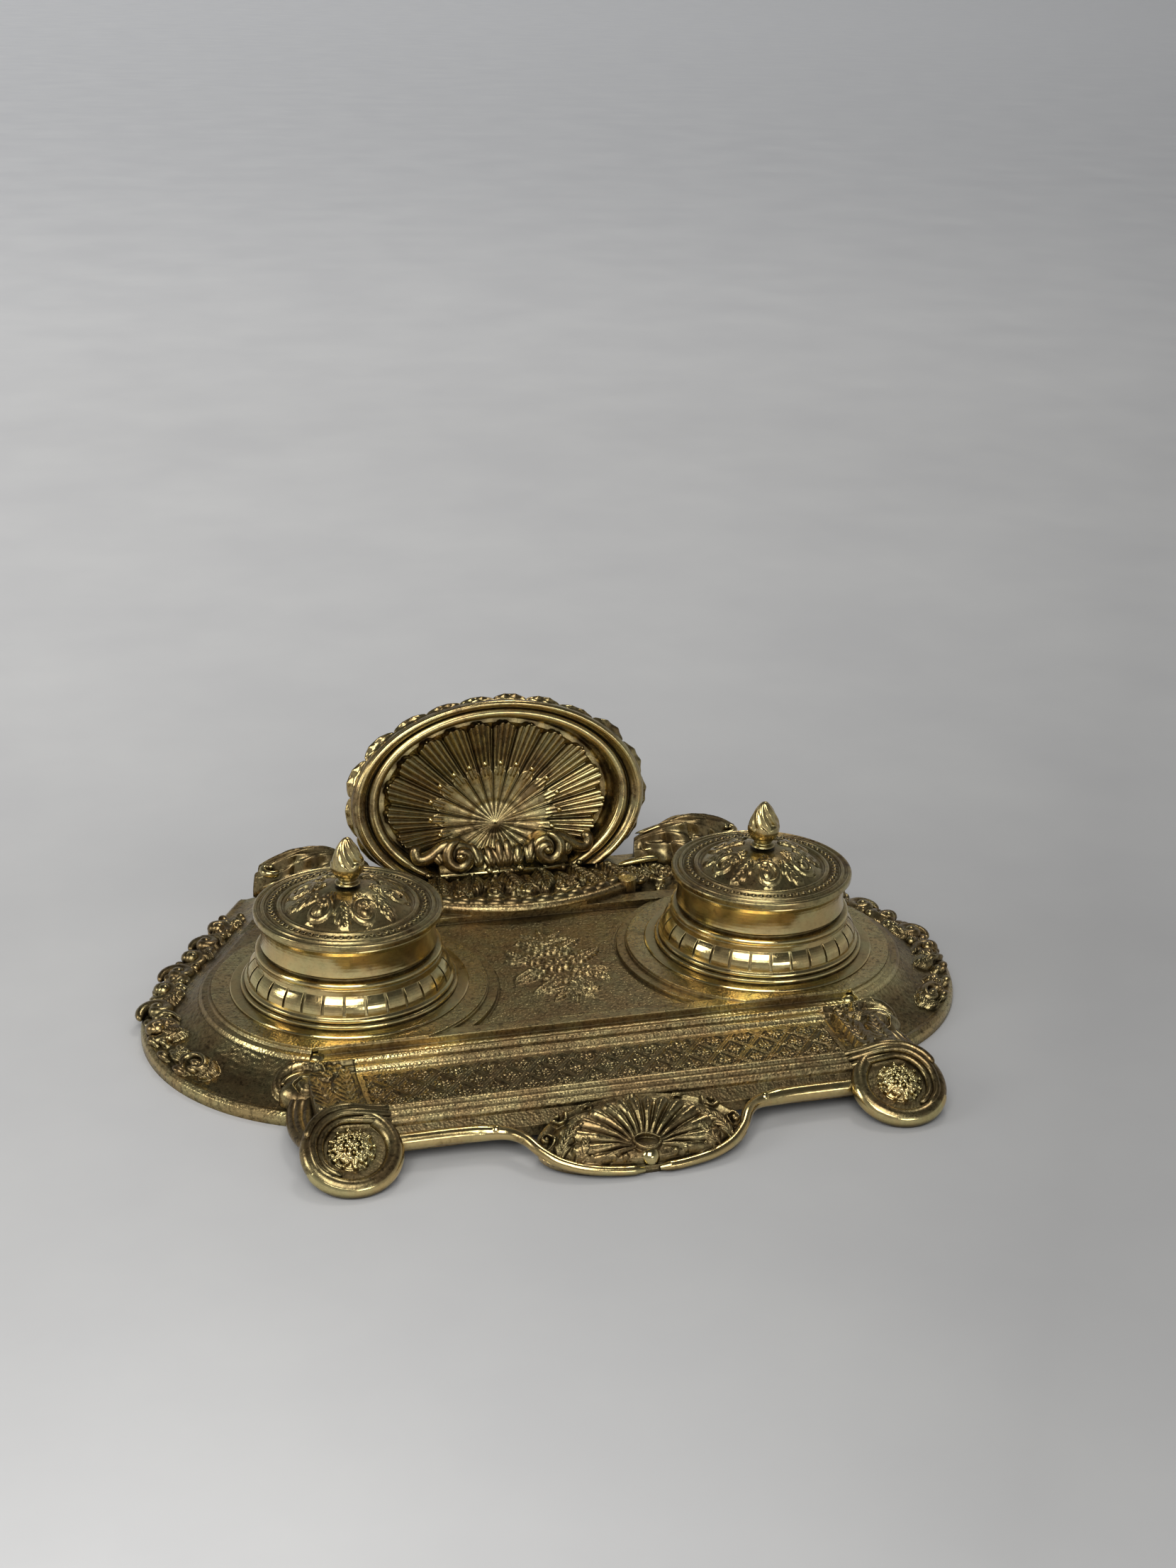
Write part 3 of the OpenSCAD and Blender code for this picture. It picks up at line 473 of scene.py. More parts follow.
def brass(name, polish, stipple=0.0, turned=0.0, soften=0.0, rub_glint_mask=None, dim=1.0, edge_rub_glint_share=0.55, hollows=0.005, matt=0.0):
    """Aged brass.

    polish is the share kept bright, and wear the gold on raised edges, partly rubbed bright and partly a painted
    highlight. stipple and turned are the strength of the cast pits and the lathe lines. soften rounds sharp edges and
    hollows is how far the umber of the hollows reaches from a corner, both in metres; that umber is partly patina and
    partly painted shade. rub gives a mask of ground shown gold, partly rubbed bright by hands and partly a painted
    highlight; dim scales the colour and matt adds roughness.
    """
    n = Nodes(name)
    cloud, mottle, fine = n.noise(48.0, 5.0, 0.62), n.noise(300.0, 5.0, 0.66), n.noise(1500.0, 3.0, 0.7)
    hollow = n.node("ShaderNodeAmbientOcclusion", Distance=hollows, samples=8).outputs["AO"]
    # Umber in hollows found by occlusion: partly patina, partly painted shade
    hollow_patina_and_shade = n.ramp(hollow, (0.38, 1.0), (0.88, 0.0))
    # Gold on sharp raised edges: partly rubbed bright, partly a painted highlight
    edge_rub_and_glint = n.ramp(n.node("ShaderNodeNewGeometry").outputs["Pointiness"], (0.505, 0.0), (0.57, 1.0))
    tarnish = n.ramp(cloud, (max(0.56 - 0.42 * polish, 0.0), 1.0), (0.80 - 0.45 * polish, 0.0))
    tarnish = n.times(tarnish, n.ramp(mottle, (0.3, 1.0), (0.75, 0.75)))
    dull = n.maths("MAXIMUM", tarnish, 1.0 - polish)
    # Ground under the mask is made gold: partly rubbed bright, partly a painted highlight
    if rub_glint_mask is not None:
        dull = n.maths("SUBTRACT", dull, n.times(rub_glint_mask(n), 0.75), clamp=True)
    # Colour: gold to olive and brown with tarnish, gold edges (partly rubbed bright, partly a painted highlight),
    # umber hollows (partly patina, partly painted shade) and freckles, a drift of tint
    ground = n.mix(n.ramp(mottle, (0.35, 0.0), (0.68, 1.0)), OLIVE, BROWN)
    base = n.mix(n.times(edge_rub_and_glint, edge_rub_glint_share), n.mix(dull, GOLD, ground), GOLD)
    base = n.mix(n.times(hollow_patina_and_shade, n.ramp(mottle, (0.2, 1.0), (0.9, 0.6))), base, UMBER)
    base = n.mix(1.0, base, n.mix(n.ramp(n.noise(95.0, 3.0), (0.4, 0.0), (0.62, 1.0)), WARM, COOL), "MULTIPLY")
    freckle = n.maths("MAXIMUM", n.ramp(n.noise(620.0, 6.0, 0.75), (0.50, 0.0), (0.60, 1.0)),
                      n.ramp(n.noise(150.0, 6.0, 0.75), (0.54, 0.0), (0.66, 1.0)))
    base = n.mix(n.times(n.times(freckle, dull), 0.72), base, UMBER)
    if dim != 1.0:
        base = n.mix(1.0, base, (dim, dim, dim), "MULTIPLY")
    rough = n.plus(n.plus(0.12 + matt, dull, 0.20), hollow_patina_and_shade, 0.2)
    rough = n.plus(rough, n.maths("SUBTRACT", mottle, 0.5), 0.26)
    rough = n.maths("SUBTRACT", rough, n.times(edge_rub_and_glint, 0.08), clamp=True)
    normal = n.node("ShaderNodeBevel", Radius=soften, samples=4).outputs[0] if soften else None
    normal = n.bump(n.maths("ADD", fine, mottle), 0.00006, 0.35, normal)
    if stipple:
        pits = n.node("ShaderNodeTexVoronoi", Scale=1050.0)
        n.link(n.coords, pits.inputs["Vector"])
        normal = n.bump(pits.outputs["Distance"], 0.00022, 0.55 * stipple, normal)
    if turned:
        line = n.node("ShaderNodeCombineXYZ")
        n.link(n.from_axis(), line.inputs[0])
        n.link(n.axes()[2], line.inputs[1])
        normal = n.bump(n.noise(2600.0, 3.0, 0.7, line.outputs[0]), 0.00003, turned, normal)
    return n.surface(Base_Color=base, Metallic=1.0, Roughness=rough, Normal=normal)


def plain(name, colour, metallic, roughness, dark, scale=260.0, coat=0.0):
    """A worn plain surface: two tones in soft clouds, with a light bump."""
    n = Nodes(name)
    cloud = n.noise(scale, 5.0)
    return n.surface(Base_Color=n.mix(n.ramp(cloud, (0.35, 0.0), (0.7, 1.0)), colour, dark), Metallic=metallic,
                     Coat_Weight=coat, Roughness=n.plus(roughness - 0.1, cloud, 0.2),
                     Normal=n.bump(cloud, 0.0001, 0.4))


def seat_rub_and_glint(n):
    """The ground in front of the wells, shown gold: partly rubbed bright by hands, partly a painted highlight."""
    # A ring round each well, kept to its front side: partly rubbed bright, partly a painted highlight
    ring = n.ramp(n.from_axis(), (0.0485, 0.0), (0.0505, 1.0), (0.0545, 1.0), (0.0605, 0.0))
    front = n.ramp(n.times(n.axes()[1], -1.0), (0.022, 0.1), (0.042, 0.75))
    return n.times(ring, front)


CAST = brass("cast_brass", 0.2, stipple=0.8, soften=0.0005, rub_glint_mask=seat_rub_and_glint, dim=1.15, matt=0.05)
RELIEF = brass("relief_brass", 0.24, stipple=0.2, rub_glint_mask=seat_rub_and_glint, edge_rub_glint_share=0.32)
SHELL = brass("shell_brass", 0.42, hollows=0.003)
RIM = brass("rim_brass", 0.6)
POLISHED = brass("polished_brass", 0.78, turned=0.35, soften=0.0003)
LID = brass("lid_brass", 0.42, turned=0.3, soften=0.0003, edge_rub_glint_share=0.4)
FOLIAGE = brass("foliage_brass", 0.2, edge_rub_glint_share=0.3, dim=0.85)
DARK = brass("dark_brass", 0.1, edge_rub_glint_share=0.3, dim=0.7)
BRIGHT = brass("bright_brass", 0.8)
NUTS = brass("nut_brass", 0.4)
IRON = plain("old_iron", (0.16, 0.13, 0.11), 0.9, 0.5, (0.09, 0.05, 0.03))
GLAZE = plain("white_glaze", (0.86, 0.84, 0.78), 0.0, 0.2, (0.76, 0.73, 0.63), 120.0, 0.6)

# By the last word or words of the node's name; all else is cast brass
PAINTS = {"well_body": POLISHED, "_finial": POLISHED, "_lid": LID, "finial_nut": NUTS, "liner": GLAZE,
          "bolt": IRON, "well_nut": IRON, "well_washer": IRON, "crest_screws": IRON, "crest_washers": NUTS}
for node_name, node in nodes.items():
    node.data.materials.clear()
    node.data.materials.append(next((PAINTS[end] for end in PAINTS if node_name.endswith(end)), CAST))


# ---- the upright shell
SHELL_FLUTES, RIBS = 24, 4
# Floor of the dish: share of the way from the focus to the rim, and depth
DISH = np.array([(0.0, -9.4), (0.05, -9.6), (0.2, -11), (0.4, -10.7), (0.6, -9.8), (0.8, -8), (0.94, -6.6)])
INNER_END, OUTER_END, GROOVE = 0.56, 0.965, 3.6
# Section of the rim from inside to outside: share of its width, and height
RIM_KNOTS = [(1, -9.4), (0.99, -4.4), (0.93, 0.2), (0.86, 2.2), (0.74, 3.3), (0.6, 3.2), (0.52, 2.0), (0.49, 1.5),
             (0.46, 2.6), (0.36, 4.0), (0.24, 4.8), (0.12, 4.5), (0.03, 3.2), (0.0, 1.6)]
# Rings of the leaf tips behind the rim: share of their length, and height
TIP_RINGS = ((0.0, -0.2), (0.45, -0.6), (0.8, -0.9), (1.0, -1.4), (0.8, -2.4))
# Rings of the back: inset from the outline, share of what is left, and height
BACK_RINGS = ((1.5, 1, -4.4), (SHELL_RIM * 0.8, 1, -9.0), (SHELL_RIM, 0.75, -15.3), (SHELL_RIM, 0.3, -16.5),
              (SHELL_RIM, 0.01, -16.5))
# Section of the bar that the shell stands on: back and up
BAR_HALF = 27.0
BAR = [(-5.8, 0), (5.8, 0), (4.6, 8.6), (-1.6, 8.6), (-2.1, 6.6), (-2.8, 5.2), (-3.6, 4.2), (-4.7, 3.6),
       (-5.6, 3.3), (-5.8, 2.6)]


def on_shell(u, v, n):
    """Width, height and depth on the shell's slope, as millimetres of the inkstand."""
    lean = math.radians(SHELL_LEAN)
    return xyz(u, PLINTH_Y + v * math.sin(lean) - n * math.cos(lean),
               PLINTH_Z + v * math.cos(lean) + n * math.sin(lean))


SHELL_OUT = on_shell(0.0, 0.0, 1.0) - on_shell(0.0, 0.0, 0.0)


def rim_ray(a, inset):
    """Distance from the focus of the flutes to the outline, less an inset."""
    ea, eb = SHELL_A - inset, OVAL_B - inset * RIM_SQUASH
    dx, dy, oy = np.cos(a), np.sin(a), FOCUS_V - OVAL_C
    qa = (dx / ea) ** 2 + (dy / eb) ** 2
    qb = 2 * oy * dy / eb**2
    qc = (oy / eb) ** 2 - 1
    return (-qb + np.sqrt(qb * qb - 4 * qa * qc)) / (2 * qa)


def shell_grid(a, d, n):
    """Points at angle a and distance d from the focus, none below the foot of the shell."""
    return on_shell(d * np.cos(a), np.maximum(FOCUS_V + d * np.sin(a), SHELL_RISE), n)


def dish_height(t, a):
    """Floor of the dish with its inner tier of smooth lobes and its outer tier of fine ribs."""
    u = (a * SHELL_FLUTES / (2 * np.pi)) % 1.0
    c = np.abs(2 * u - 1)
    base = np.interp(t, DISH[:, 0], DISH[:, 1])
    crown = dome(c, 2.4)
    start = clamp((t - 0.04) / 0.2)
    end = clamp((INNER_END - 0.09 * c**2 - t) / 0.014)
    edge = bell(c - 0.86, 0.13)
    lobe = (0.4 + 0.9 * crown + 0.9 * edge) * start * np.sqrt(end) + 0.7 * clamp((t - 0.3) / 0.25)
    lobe = np.where(end > 0, lobe, 0)
    rib = np.sqrt(np.abs(np.sin(np.pi * RIBS * u)))
    w = np.abs(2 * ((u * RIBS) % 1.0) - 1)
    tip = clamp((OUTER_END - 0.06 * c**2 - 0.016 * w**2 - t) / 0.012)
    fan = (3.0 * crown * (0.45 + 0.6 * t) + 1.3 * rib) * np.sqrt(tip) - 1.4
    outer = np.where(t > INNER_END - 0.1, fan, -9)
    groove = GROOVE * clamp((t - 0.88) / 0.06)
    return base + np.where(t < OUTER_END - 0.075, np.maximum(lobe, outer), outer * tip - (1 - tip) * groove)


def make_shell():
    """Dish, rim, leaf tips and back as one skin on its bar, then the rim's rolls and the beads."""
    heap = Heap()
    a = circle(SHELL_FLUTES * RIBS * 8)
    t = np.concatenate([np.linspace(0.01, 0.5, 40), np.linspace(0.505, 0.6, 26), np.linspace(0.61, 0.86, 30),
                        np.linspace(0.865, 0.985, 34)])
    T, A = plan_grid(t, a)
    dish = shell_grid(A, T * rim_ray(A, SHELL_RIM), dish_height(T, A))
    section = smooth_path(np.array(RIM_KNOTS) * (SHELL_RIM, 1), 56)
    rim = [shell_grid(a, rim_ray(a, inset), n) for inset, n in section]
    # The leaf tips differ in length and fade towards the foot
    flute = a * SHELL_FLUTES / (2 * np.pi)
    u = flute % 1.0
    fading = clamp(0.7 + np.sin(a))
    size = np.random.default_rng(2).uniform(0.8, 1.45, SHELL_FLUTES)[flute.astype(int)]
    reach = LEAF_TIP * size * fading * np.sin(np.pi * u) ** 0.55
    notch = 1 - 0.16 * np.abs(np.sin(3 * np.pi * u)) * fading
    frill = 0.5 * np.cos(6 * np.pi * u) * fading
    leaves = [shell_grid(a, rim_ray(a, -reach * notch * share) - 0.2 * (share == 0), n + frill * share)
              for share, n in TIP_RINGS]
    back = [shell_grid(a, share * rim_ray(a, inset), n) for inset, share, n in BACK_RINGS]
    heap.grid(np.concatenate([dish, rim, leaves, back]), wrap=True)
    heap.grid([[(x, PLINTH_Y + s * y, PLINTH_Z + z) for y, z in BAR]
               for x, s in ((-BAR_HALF, 0.05), (-BAR_HALF, 1), (BAR_HALF, 1), (BAR_HALF, 0.05))], wrap=True)
    shell = heap.build("shell", SHELL)
    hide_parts("back_shell")
    # The polished mouldings lie on the rim as rolls of their own
    rolls = Heap()
    b = np.linspace(math.radians(-24), math.radians(204), 300)
    for inset, n, r, flat in ((SHELL_RIM * 0.2, 3.9, 1.35, 0.9), (SHELL_RIM * 0.7, 1.9, 2.1, 0.85)):
        rolls.tube(shell_grid(b, rim_ray(b, inset), n), tapered(300, r, 0.05), 14, flat, SHELL_OUT)
    rolls.build("shell_rolls", RIM)
    # Beads between the flutes, at the end of the inner tier and, at every second flute, of the outer one
    beads = Heap()
    for k in range(SHELL_FLUTES):
        at = 2 * np.pi * (k + 0.5) / SHELL_FLUTES
        for t, r, lift, every in ((INNER_END + 0.006, 1.3, 1.7, 1), (OUTER_END - 0.015, 0.85, 0.9, 2)):
            if k % every == 0:
                depth = np.interp(t, DISH[:, 0], DISH[:, 1]) + lift
                beads.ball(shell_grid(at, t * rim_ray(at, SHELL_RIM), depth), r)
    beads.build("shell_beads", BRIGHT)
    make_shell_foot()


# The volute beside the middle of the shell's foot, with its drum as radius and height, its arm as places on the
# slope, and the leaves as place, bend and length
VOLUTE_U, VOLUTE_V = 18.2, 8.8
VOLUTE_DRUM = ((6.6, -8.0), (6.6, 3.6), (6.0, 4.8), (4.5, 5.0), (0.05, 5.2))
VOLUTE_ARM = [(19, 14.4), (25, 13.2), (31, 9.0), (35.5, 8.6), (36.5, 12.0), (33.8, 13.2)]
FOOT_LEAVES = ((10.8, 3.0, 0.5, 11.0), (5.6, 2.6, 0.25, 9.5), (1.6, 2.4, 0.05, 12.0), (26.0, 5.4, 0.9, 8.0))


def make_shell_foot():
    """Volutes, stems and leaves between the shell and the ledge below it."""
    heap, ring = Heap(), circle(40)
    for side in SIDES:
        u = side * VOLUTE_U
        plan = spiral(u, VOLUTE_V, 6.6, 1.15, -side, math.pi / 2, 100)
        heap.tube(on_shell(*plan.T, np.linspace(4.9, 6.6, 100)), tapered(100, 2.5, 0.2), 14, 1.0, SHELL_OUT)
        heap.ball(on_shell(u, VOLUTE_V, 6.0), 2.6, 18)
        heap.grid([on_shell(*around(r, ring, u, VOLUTE_V - 0.4), n) for r, n in VOLUTE_DRUM], wrap=True)
        arm = smooth_path(VOLUTE_ARM, 60) * (side, 1)
        heap.tube(on_shell(*arm.T, np.linspace(3.8, 1.4, 60)), tapered(60, 2.5, 0.2), 14, 1.0, SHELL_OUT)
        for across, up, bend, length in FOOT_LEAVES:
            leaf_stem(heap, side * across, up, side * bend, length)
        for k in range(9):
            heap.ball(on_shell(side * (3.0 + 3.6 * k), 1.2 + 0.7 * math.sin(1.7 * k), 5.0 - 0.1 * k),
                      1.6 + 0.5 * math.sin(2.3 * k))
    heap.build("shell_scrolls", RELIEF)


def leaf_stem(heap, u, v, bend, length, n=22):
    """A small upright leaf of three rolled fingers."""
    t = np.linspace(0, 1, n)
    for finger in (-1, 0, 1):
        turn = bend * t + finger * 0.7 * t**1.2
        reach = length * (1.0 if finger == 0 else 0.78)
        pu = u + finger * 0.7 + reach * np.cumsum(np.sin(turn)) / n
        pv = v + reach * np.cumsum(np.cos(turn)) / n
        height = 4.6 + 1.2 * np.sin(np.pi * t) - 2.6 * t
        heap.tube(on_shell(pu, pv, height), tapered(n, 1.7 - 0.25 * abs(finger), 0.35), 12, 0.8, SHELL_OUT)


# ---- the acanthus wings
WING_LEN, WING_H, WING_W, WING_LOBES = 45.0, 20.0, 11.0, 5
# Rolled edges along the right wing: shift in depth, height and radius
WING_ROLLS = ((-6.4, 9.5, 1.5), (-1.5, 16.8, 1.2), (4.5, 13.5, 1.2))
# The bright roll in front of the right wing, with heights from the plinth
FRONT_ROLL = [(47, 84.6, 2.2), (54, 84.0, 3.6), (62, 83.6, 4.4), (70, 83.9, 3.4), (74, 85.0, 1.4)]


def sind(a):
    return np.sin(np.radians(a))


def make_wings():
    """Two lobed leaves that lie from the shell's flank outward, each with its rolled edges and its eye."""
    t, u = np.linspace(0, 1, 190)[:, None], np.linspace(-1, 1, 121)[None, :]
    beat = np.pi * WING_LOBES * (t - 0.12 * np.abs(u))
    wide = WING_W * sind(25 + 150 * t) ** 0.8 * (0.84 + 0.16 * np.abs(np.sin(beat))) + 0.5
    rise = WING_H * (0.4 + 0.6 * sind(10 + 150 * t)) * np.where(t > 0.97, 0.8, 1)
    x = SHELL_A - 5 + WING_LEN * t + 3 * u * (0.5 - t)
    y = PLINTH_Y - 4 * sind(180 * t) + wide * u
    fan = np.cos(2 * np.pi * (5.0 * np.abs(u) ** 0.8 - 3.2 * t))
    eye = bell(np.abs(u) - 0.62, 0.09) * clamp(np.cos(2 * beat)) ** 3
    vein = bell(u, 0.07)
    z = PLINTH_Z + rise * (1 - 0.72 * u * u) * (1 + 0.05 * np.cos(2 * np.pi * 2.5 * u) * sind(20 + 140 * t))
    z = z + 0.75 * fan * sind(180 * t) ** 0.5 * clamp(1.4 - np.abs(u)) - 1.8 * eye - 1.1 * vein
    top = xyz(x, y, z)
    foot = top.copy()
    foot[..., 2] = PLINTH_Z
    rings = np.concatenate([top, foot[:, ::-1][:, ::12]], 1)
    for side, name in reversed(SIDES.items()):
        g = rings * (side, 1, 1)
        ends = [np.broadcast_to(g[k].mean(0), g[k].shape)[None] for k in (0, -1)]
        heap = Heap().grid(np.concatenate([ends[0], g, ends[1]]), wrap=True, flip=side < 0)
        wing = heap.build(f"{name}_acanthus", FOLIAGE)
        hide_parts(f"{name}_leaf_wing")
        curl = Heap()
        for dy, z0, r in WING_ROLLS:
            path = [(58, 93 + dy, 0.75 * z0), (70, 91.5 + dy, z0), (82, 90 + dy * 1.1, z0 + 1.2),
                    (93, 91 + dy, 0.9 * z0), (99.5, 92.5 + dy * 0.7, 0.55 * z0)]
            curl.tube(smooth_path(path, 60) * (side, 1, 1) + (0, 0, PLINTH_Z), tapered(60, r, 0.3), 12, 0.8)
        eye_path = spiral(side * 96.5, 89.0, 4.6, 1.3, side, math.pi / 2, 70)
        curl.tube(np.column_stack([eye_path, PLINTH_Z + np.linspace(10.5, 13.5, 70)]), tapered(70, 1.5, 0.12), 12)
        curl.tube(smooth_path(FRONT_ROLL, 60) * (side, 1, 1) + (0, 0, PLINTH_Z), tapered(60, 2.0, 0.25), 12, 0.8)
        curl.build(f"{name}_wing_curls", RIM)


# ---- lids and finials
DOME_R0, BRIM, LID_MOTIFS = 6.2, 12.0, 6
# Beaded bands of the brim: inset from the edge, number, radius and squash of the beads
LID_BANDS = ((6.3, 64, 1.15, 0.55), (9.4, 84, 0.7, 0.6))
# Section of the bud: height and radius as shares
BUD = [(0.0, 0.3), (0.05, 0.9), (0.06, 0.95), (0.085, 0.9), (0.12, 0.7), (0.17, 0.78), (0.24, 1.0),
       (0.34, 1.16), (0.44, 1.2), (0.56, 1.13), (0.68, 0.97), (0.8, 0.75), (0.9, 0.5), (0.97, 0.26), (1.0, 0.0)]


def make_lid(side, name):
    """Scrolling foliage round the dome of a lid, the beads of its brim and its finial."""
    cx, rng, lid = side * WELL_X, np.random.default_rng(5 + side), f"{name}_lid"
    outer = LID_R - BRIM + 0.7
    r, _, X, Y = polar(cx, DOME_R0, outer, 84, 460)
    relief = Relief(X, Y)
    for k in range(LID_MOTIFS):
        at = 2 * np.pi * k / LID_MOTIFS + 0.3 * side
        mid, hand = at + math.pi / LID_MOTIFS, (1 if k % 2 else -1)
        relief.curl(*around(17.0, at, cx), 5.0, at + 2.0 * hand, 1.2, hand, 2.3, 1.25)
        relief.leaf(*around(8.0, at, cx), at, 9.0, 6.0, 0.5 * hand, 1.1, 3, 3.0)
        relief.leaf(*around(12.0, mid, cx), mid, 13.0, 7.0, -0.6 * hand, 1.2, 4, 3.0)
        relief.bloom(*around(24.2, at, cx), 3.0, 5, 1.1, at)
    H = relief.H + 0.06 * cast_grain(X, Y, 1.4, rng)
    edge = clamp(np.minimum(r - DOME_R0, outer - r) / 0.8)
    floor = drop(tree_of(lid), X[:, :1], Y[:, :1]) + 0 * X
    Z = floor + 0.12 + np.where(edge < 1, np.minimum(H, 0.3), H) * 0.85 - (1 - edge) * 0.5
    Heap().grid(xyz(X, Y, Z), wrap=True).build(f"{name}_lid_foliage", LID, lid)
    beads = Heap()
    for inset, number, size, squash in LID_BANDS:
        for k in range(number):
            at = 2 * np.pi * (k + 0.5) / number
            beads.ball((*around(LID_R - inset, at, cx), LID_Z + SPIGOT + 3.0), size, 10, squash)
    beads.build(f"{name}_lid_beads", DARK, lid)
    make_finial(cx, name)


def make_finial(cx, name):
    """A bud of three folded petals in a calyx, on a turned foot."""
    base = LID_Z + SPIGOT + 10.4
    section, a = smooth_path(BUD, 110), circle(120)[None, :]
    z, r = section[:, :1], np.clip(section[:, 1:], 0, None)
    body = clamp((z - 0.17) / 0.12)
    twist = a + 2.2 * z
    petal = 1 - 0.16 * body * np.abs(np.cos(1.5 * twist)) ** 6 - 0.05 * body * np.cos(9 * twist)
    leaf = np.abs(np.cos(3 * a))
    calyx = clamp((0.44 + 0.1 * leaf - z) / 0.02) * body
    rad = FINIAL_R * 0.99 * r * (petal * (1 - calyx) + calyx * (1.0 + 0.05 * leaf))
    height = base + (FINIAL_TOP - base) * z
    stud = np.array([(base - 6.5, 0.02), (base - 6.5, 1.8), (base + 0.4, 1.8), (base + 0.4, 0.02)])
    heap = Heap()
    for up, out, turn in ((height, rad, a), (stud[:, :1], stud[:, 1:], a[:, ::5])):
        heap.grid(xyz(*around(out, turn, cx), up), wrap=True, flip=True)
    bud = heap.build(f"{name}_bud", RIM, f"{name}_lid")
    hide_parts(f"{name}_finial")


# ---- relief on the casting
BASE_TREE = tree_of("base_casting")
BORDER_LEN, BORDER_WIDE = 160.0, 30.0
BORDER_FIRST, BORDER_SEED = {-1: 35.0, 1: 28.0}, {-1: 11, 1: 23}
ROLLS_AT, ROLLS_SHARE = np.arange(64.0, 152.0, 13.2), 0.77
# The relief stands off the slope of the border: shares outward and up
LIFT_OUT, LIFT_UP = 0.62, 0.78


def border_plan(s, share):
    """Points of the right border: s runs in mm along its middle line from the front, share across it."""
    a0, a1 = math.radians(BORDER_A0), math.radians(FLANK_A)
    r = SEAT_R + share * (END_R - SEAT_R)
    mid = (SEAT_R + END_R) / 2
    bend = (a1 - a0) * mid
    a = a0 + np.clip(s, 0, bend) / mid
    past = np.clip(s - bend, 0, None)
    return WELL_X + r * np.cos(a) - past * math.sin(a1), r * np.sin(a) + past * math.cos(a1), a


def make_border(side, name):
    """Clusters of leaves, curls and flowers on the outer part of a border, whose front stays plain."""
    rng = np.random.default_rng(BORDER_SEED[side])
    S, W = plan_grid(np.arange(0, BORDER_LEN, 0.36), np.linspace(0, BORDER_WIDE, 92))
    relief = Relief(S, W)
    for k, at in enumerate(np.arange(BORDER_FIRST[side], BORDER_LEN - 5, 10.4)):
        hand, w0 = (1 if k % 2 else -1), 19.0 + rng.uniform(-1.5, 1.5)
        if k % 3 == 0:
            relief.curl(at + 1.0, w0, 5.4, -hand * math.pi / 2, 1.1, hand, 3.6, 3.0)
            relief.leaf(at - 2, w0 - 5, 1.5 - hand * 0.7, 12.0, 8.0, hand * 0.9, 2.6, 2)
        elif k % 3 == 1:
            relief.bloom(at, w0, 5.2, 5, 2.8, rng.uniform(0, 1))
            relief.leaf(at + 1.5, w0 - 4, 1.57, 9.0, 7.0, 0.4, 2.0, 2)
        else:
            relief.leaf(at, w0 - 7, 1.57 + 0.5 * hand, 16.0, 9.0, hand * 0.7, 3.0, 2)
            relief.bead(at + 5.0, w0 - 4.0, 2.4, 2.4)
        relief.bead(at + 4.2, 25.6, 2.9, 2.8)
        relief.bead(at + 0.6, 21.5, 2.3, 2.6)
    H = relief.H + 0.10 * cast_grain(S, W, 2.2, rng)
    X, Y, _ = border_plan(S, 0.15 + 0.80 * W / BORDER_WIDE)
    inside = fade(S, W, (0, BORDER_LEN), (0, BORDER_WIDE), 1.5, 1.2) * clamp((REAR_Y - 9.0 - Y) / 3.0)
    X = side * X
    Z = drop(BASE_TREE, X, Y)
    out = unit(xyz(side * (np.abs(X) - WELL_X), Y, 0.0)) * LIFT_OUT
    lift = (H + np.where(relief.H < BARE, stipple(S, W, 1.1, 0.10), 0) - GROUND + 0.12) * inside - 0.45 * (1 - inside)
    P = xyz(X, Y, Z) + lift[..., None] * (out + (0, 0, LIFT_UP))
    P[..., 2] = np.maximum(P[..., 2], np.clip(Z, 0.4, None) - 1.0)
    Heap().grid(P, flip=side > 0).build(f"{name}_border_relief", RELIEF)
    make_border_rolls(side, name)


def make_border_rolls(side, name):
    """Curled leaves that lie along the outer edge of a border and hang a little over it."""
    rolls = Heap()

    def ground(x, y):
        return float(drop(BASE_TREE, np.array(side * x), np.array(y)))

    for k, at in enumerate(ROLLS_AT):
        x, y, a = border_plan(at, ROLLS_SHARE)
        z = ground(x, y)
        plan = spiral(x, y, 6.0 + 0.8 * math.sin(2.4 * k), 1.1, 1 if k % 2 else -1, a - 0.6)
        rolls.tube(np.column_stack([plan * (side, 1), z + np.linspace(0.2, 2.6, 60)]), tapered(60, 2.7, 0.3))
        rolls.ball((side * x, y, z + 2.0), 2.9, 18)
        for turn, far, r in ((2.2, 7.6, 2.3), (-2.0, 7.4, 2.0)):
            bx, by = around(far, a + turn, x, y)
            bz = ground(bx, by)
            if bz > 1.0 and by < REAR_Y - 8:
                rolls.ball((side * bx, by, bz + 0.7), r, 14)
    rolls.build(f"{name}_border_rolls", RELIEF)


TERRACE_X, TERRACE_Y = (-70.0, 70.0), (59.0, 91.0)
TERRACE_TOP = 14.0
# The ledge's front is an arc: centre behind, radius and half its angle in degrees
LEDGE_BOW, LEDGE_R, LEDGE_HALF = 125.5, 76.8, 34
# Curls at the ends of the ledge: shifts from the first one, and radius
LEDGE_CURLS = ((0, 0, 1.2, 4.2), (5.5, 3.0, -1.2, 3.4), (10.0, 6.5, -2.8, 3.0), (-5.0, 4.0, -2.0, 3.0))


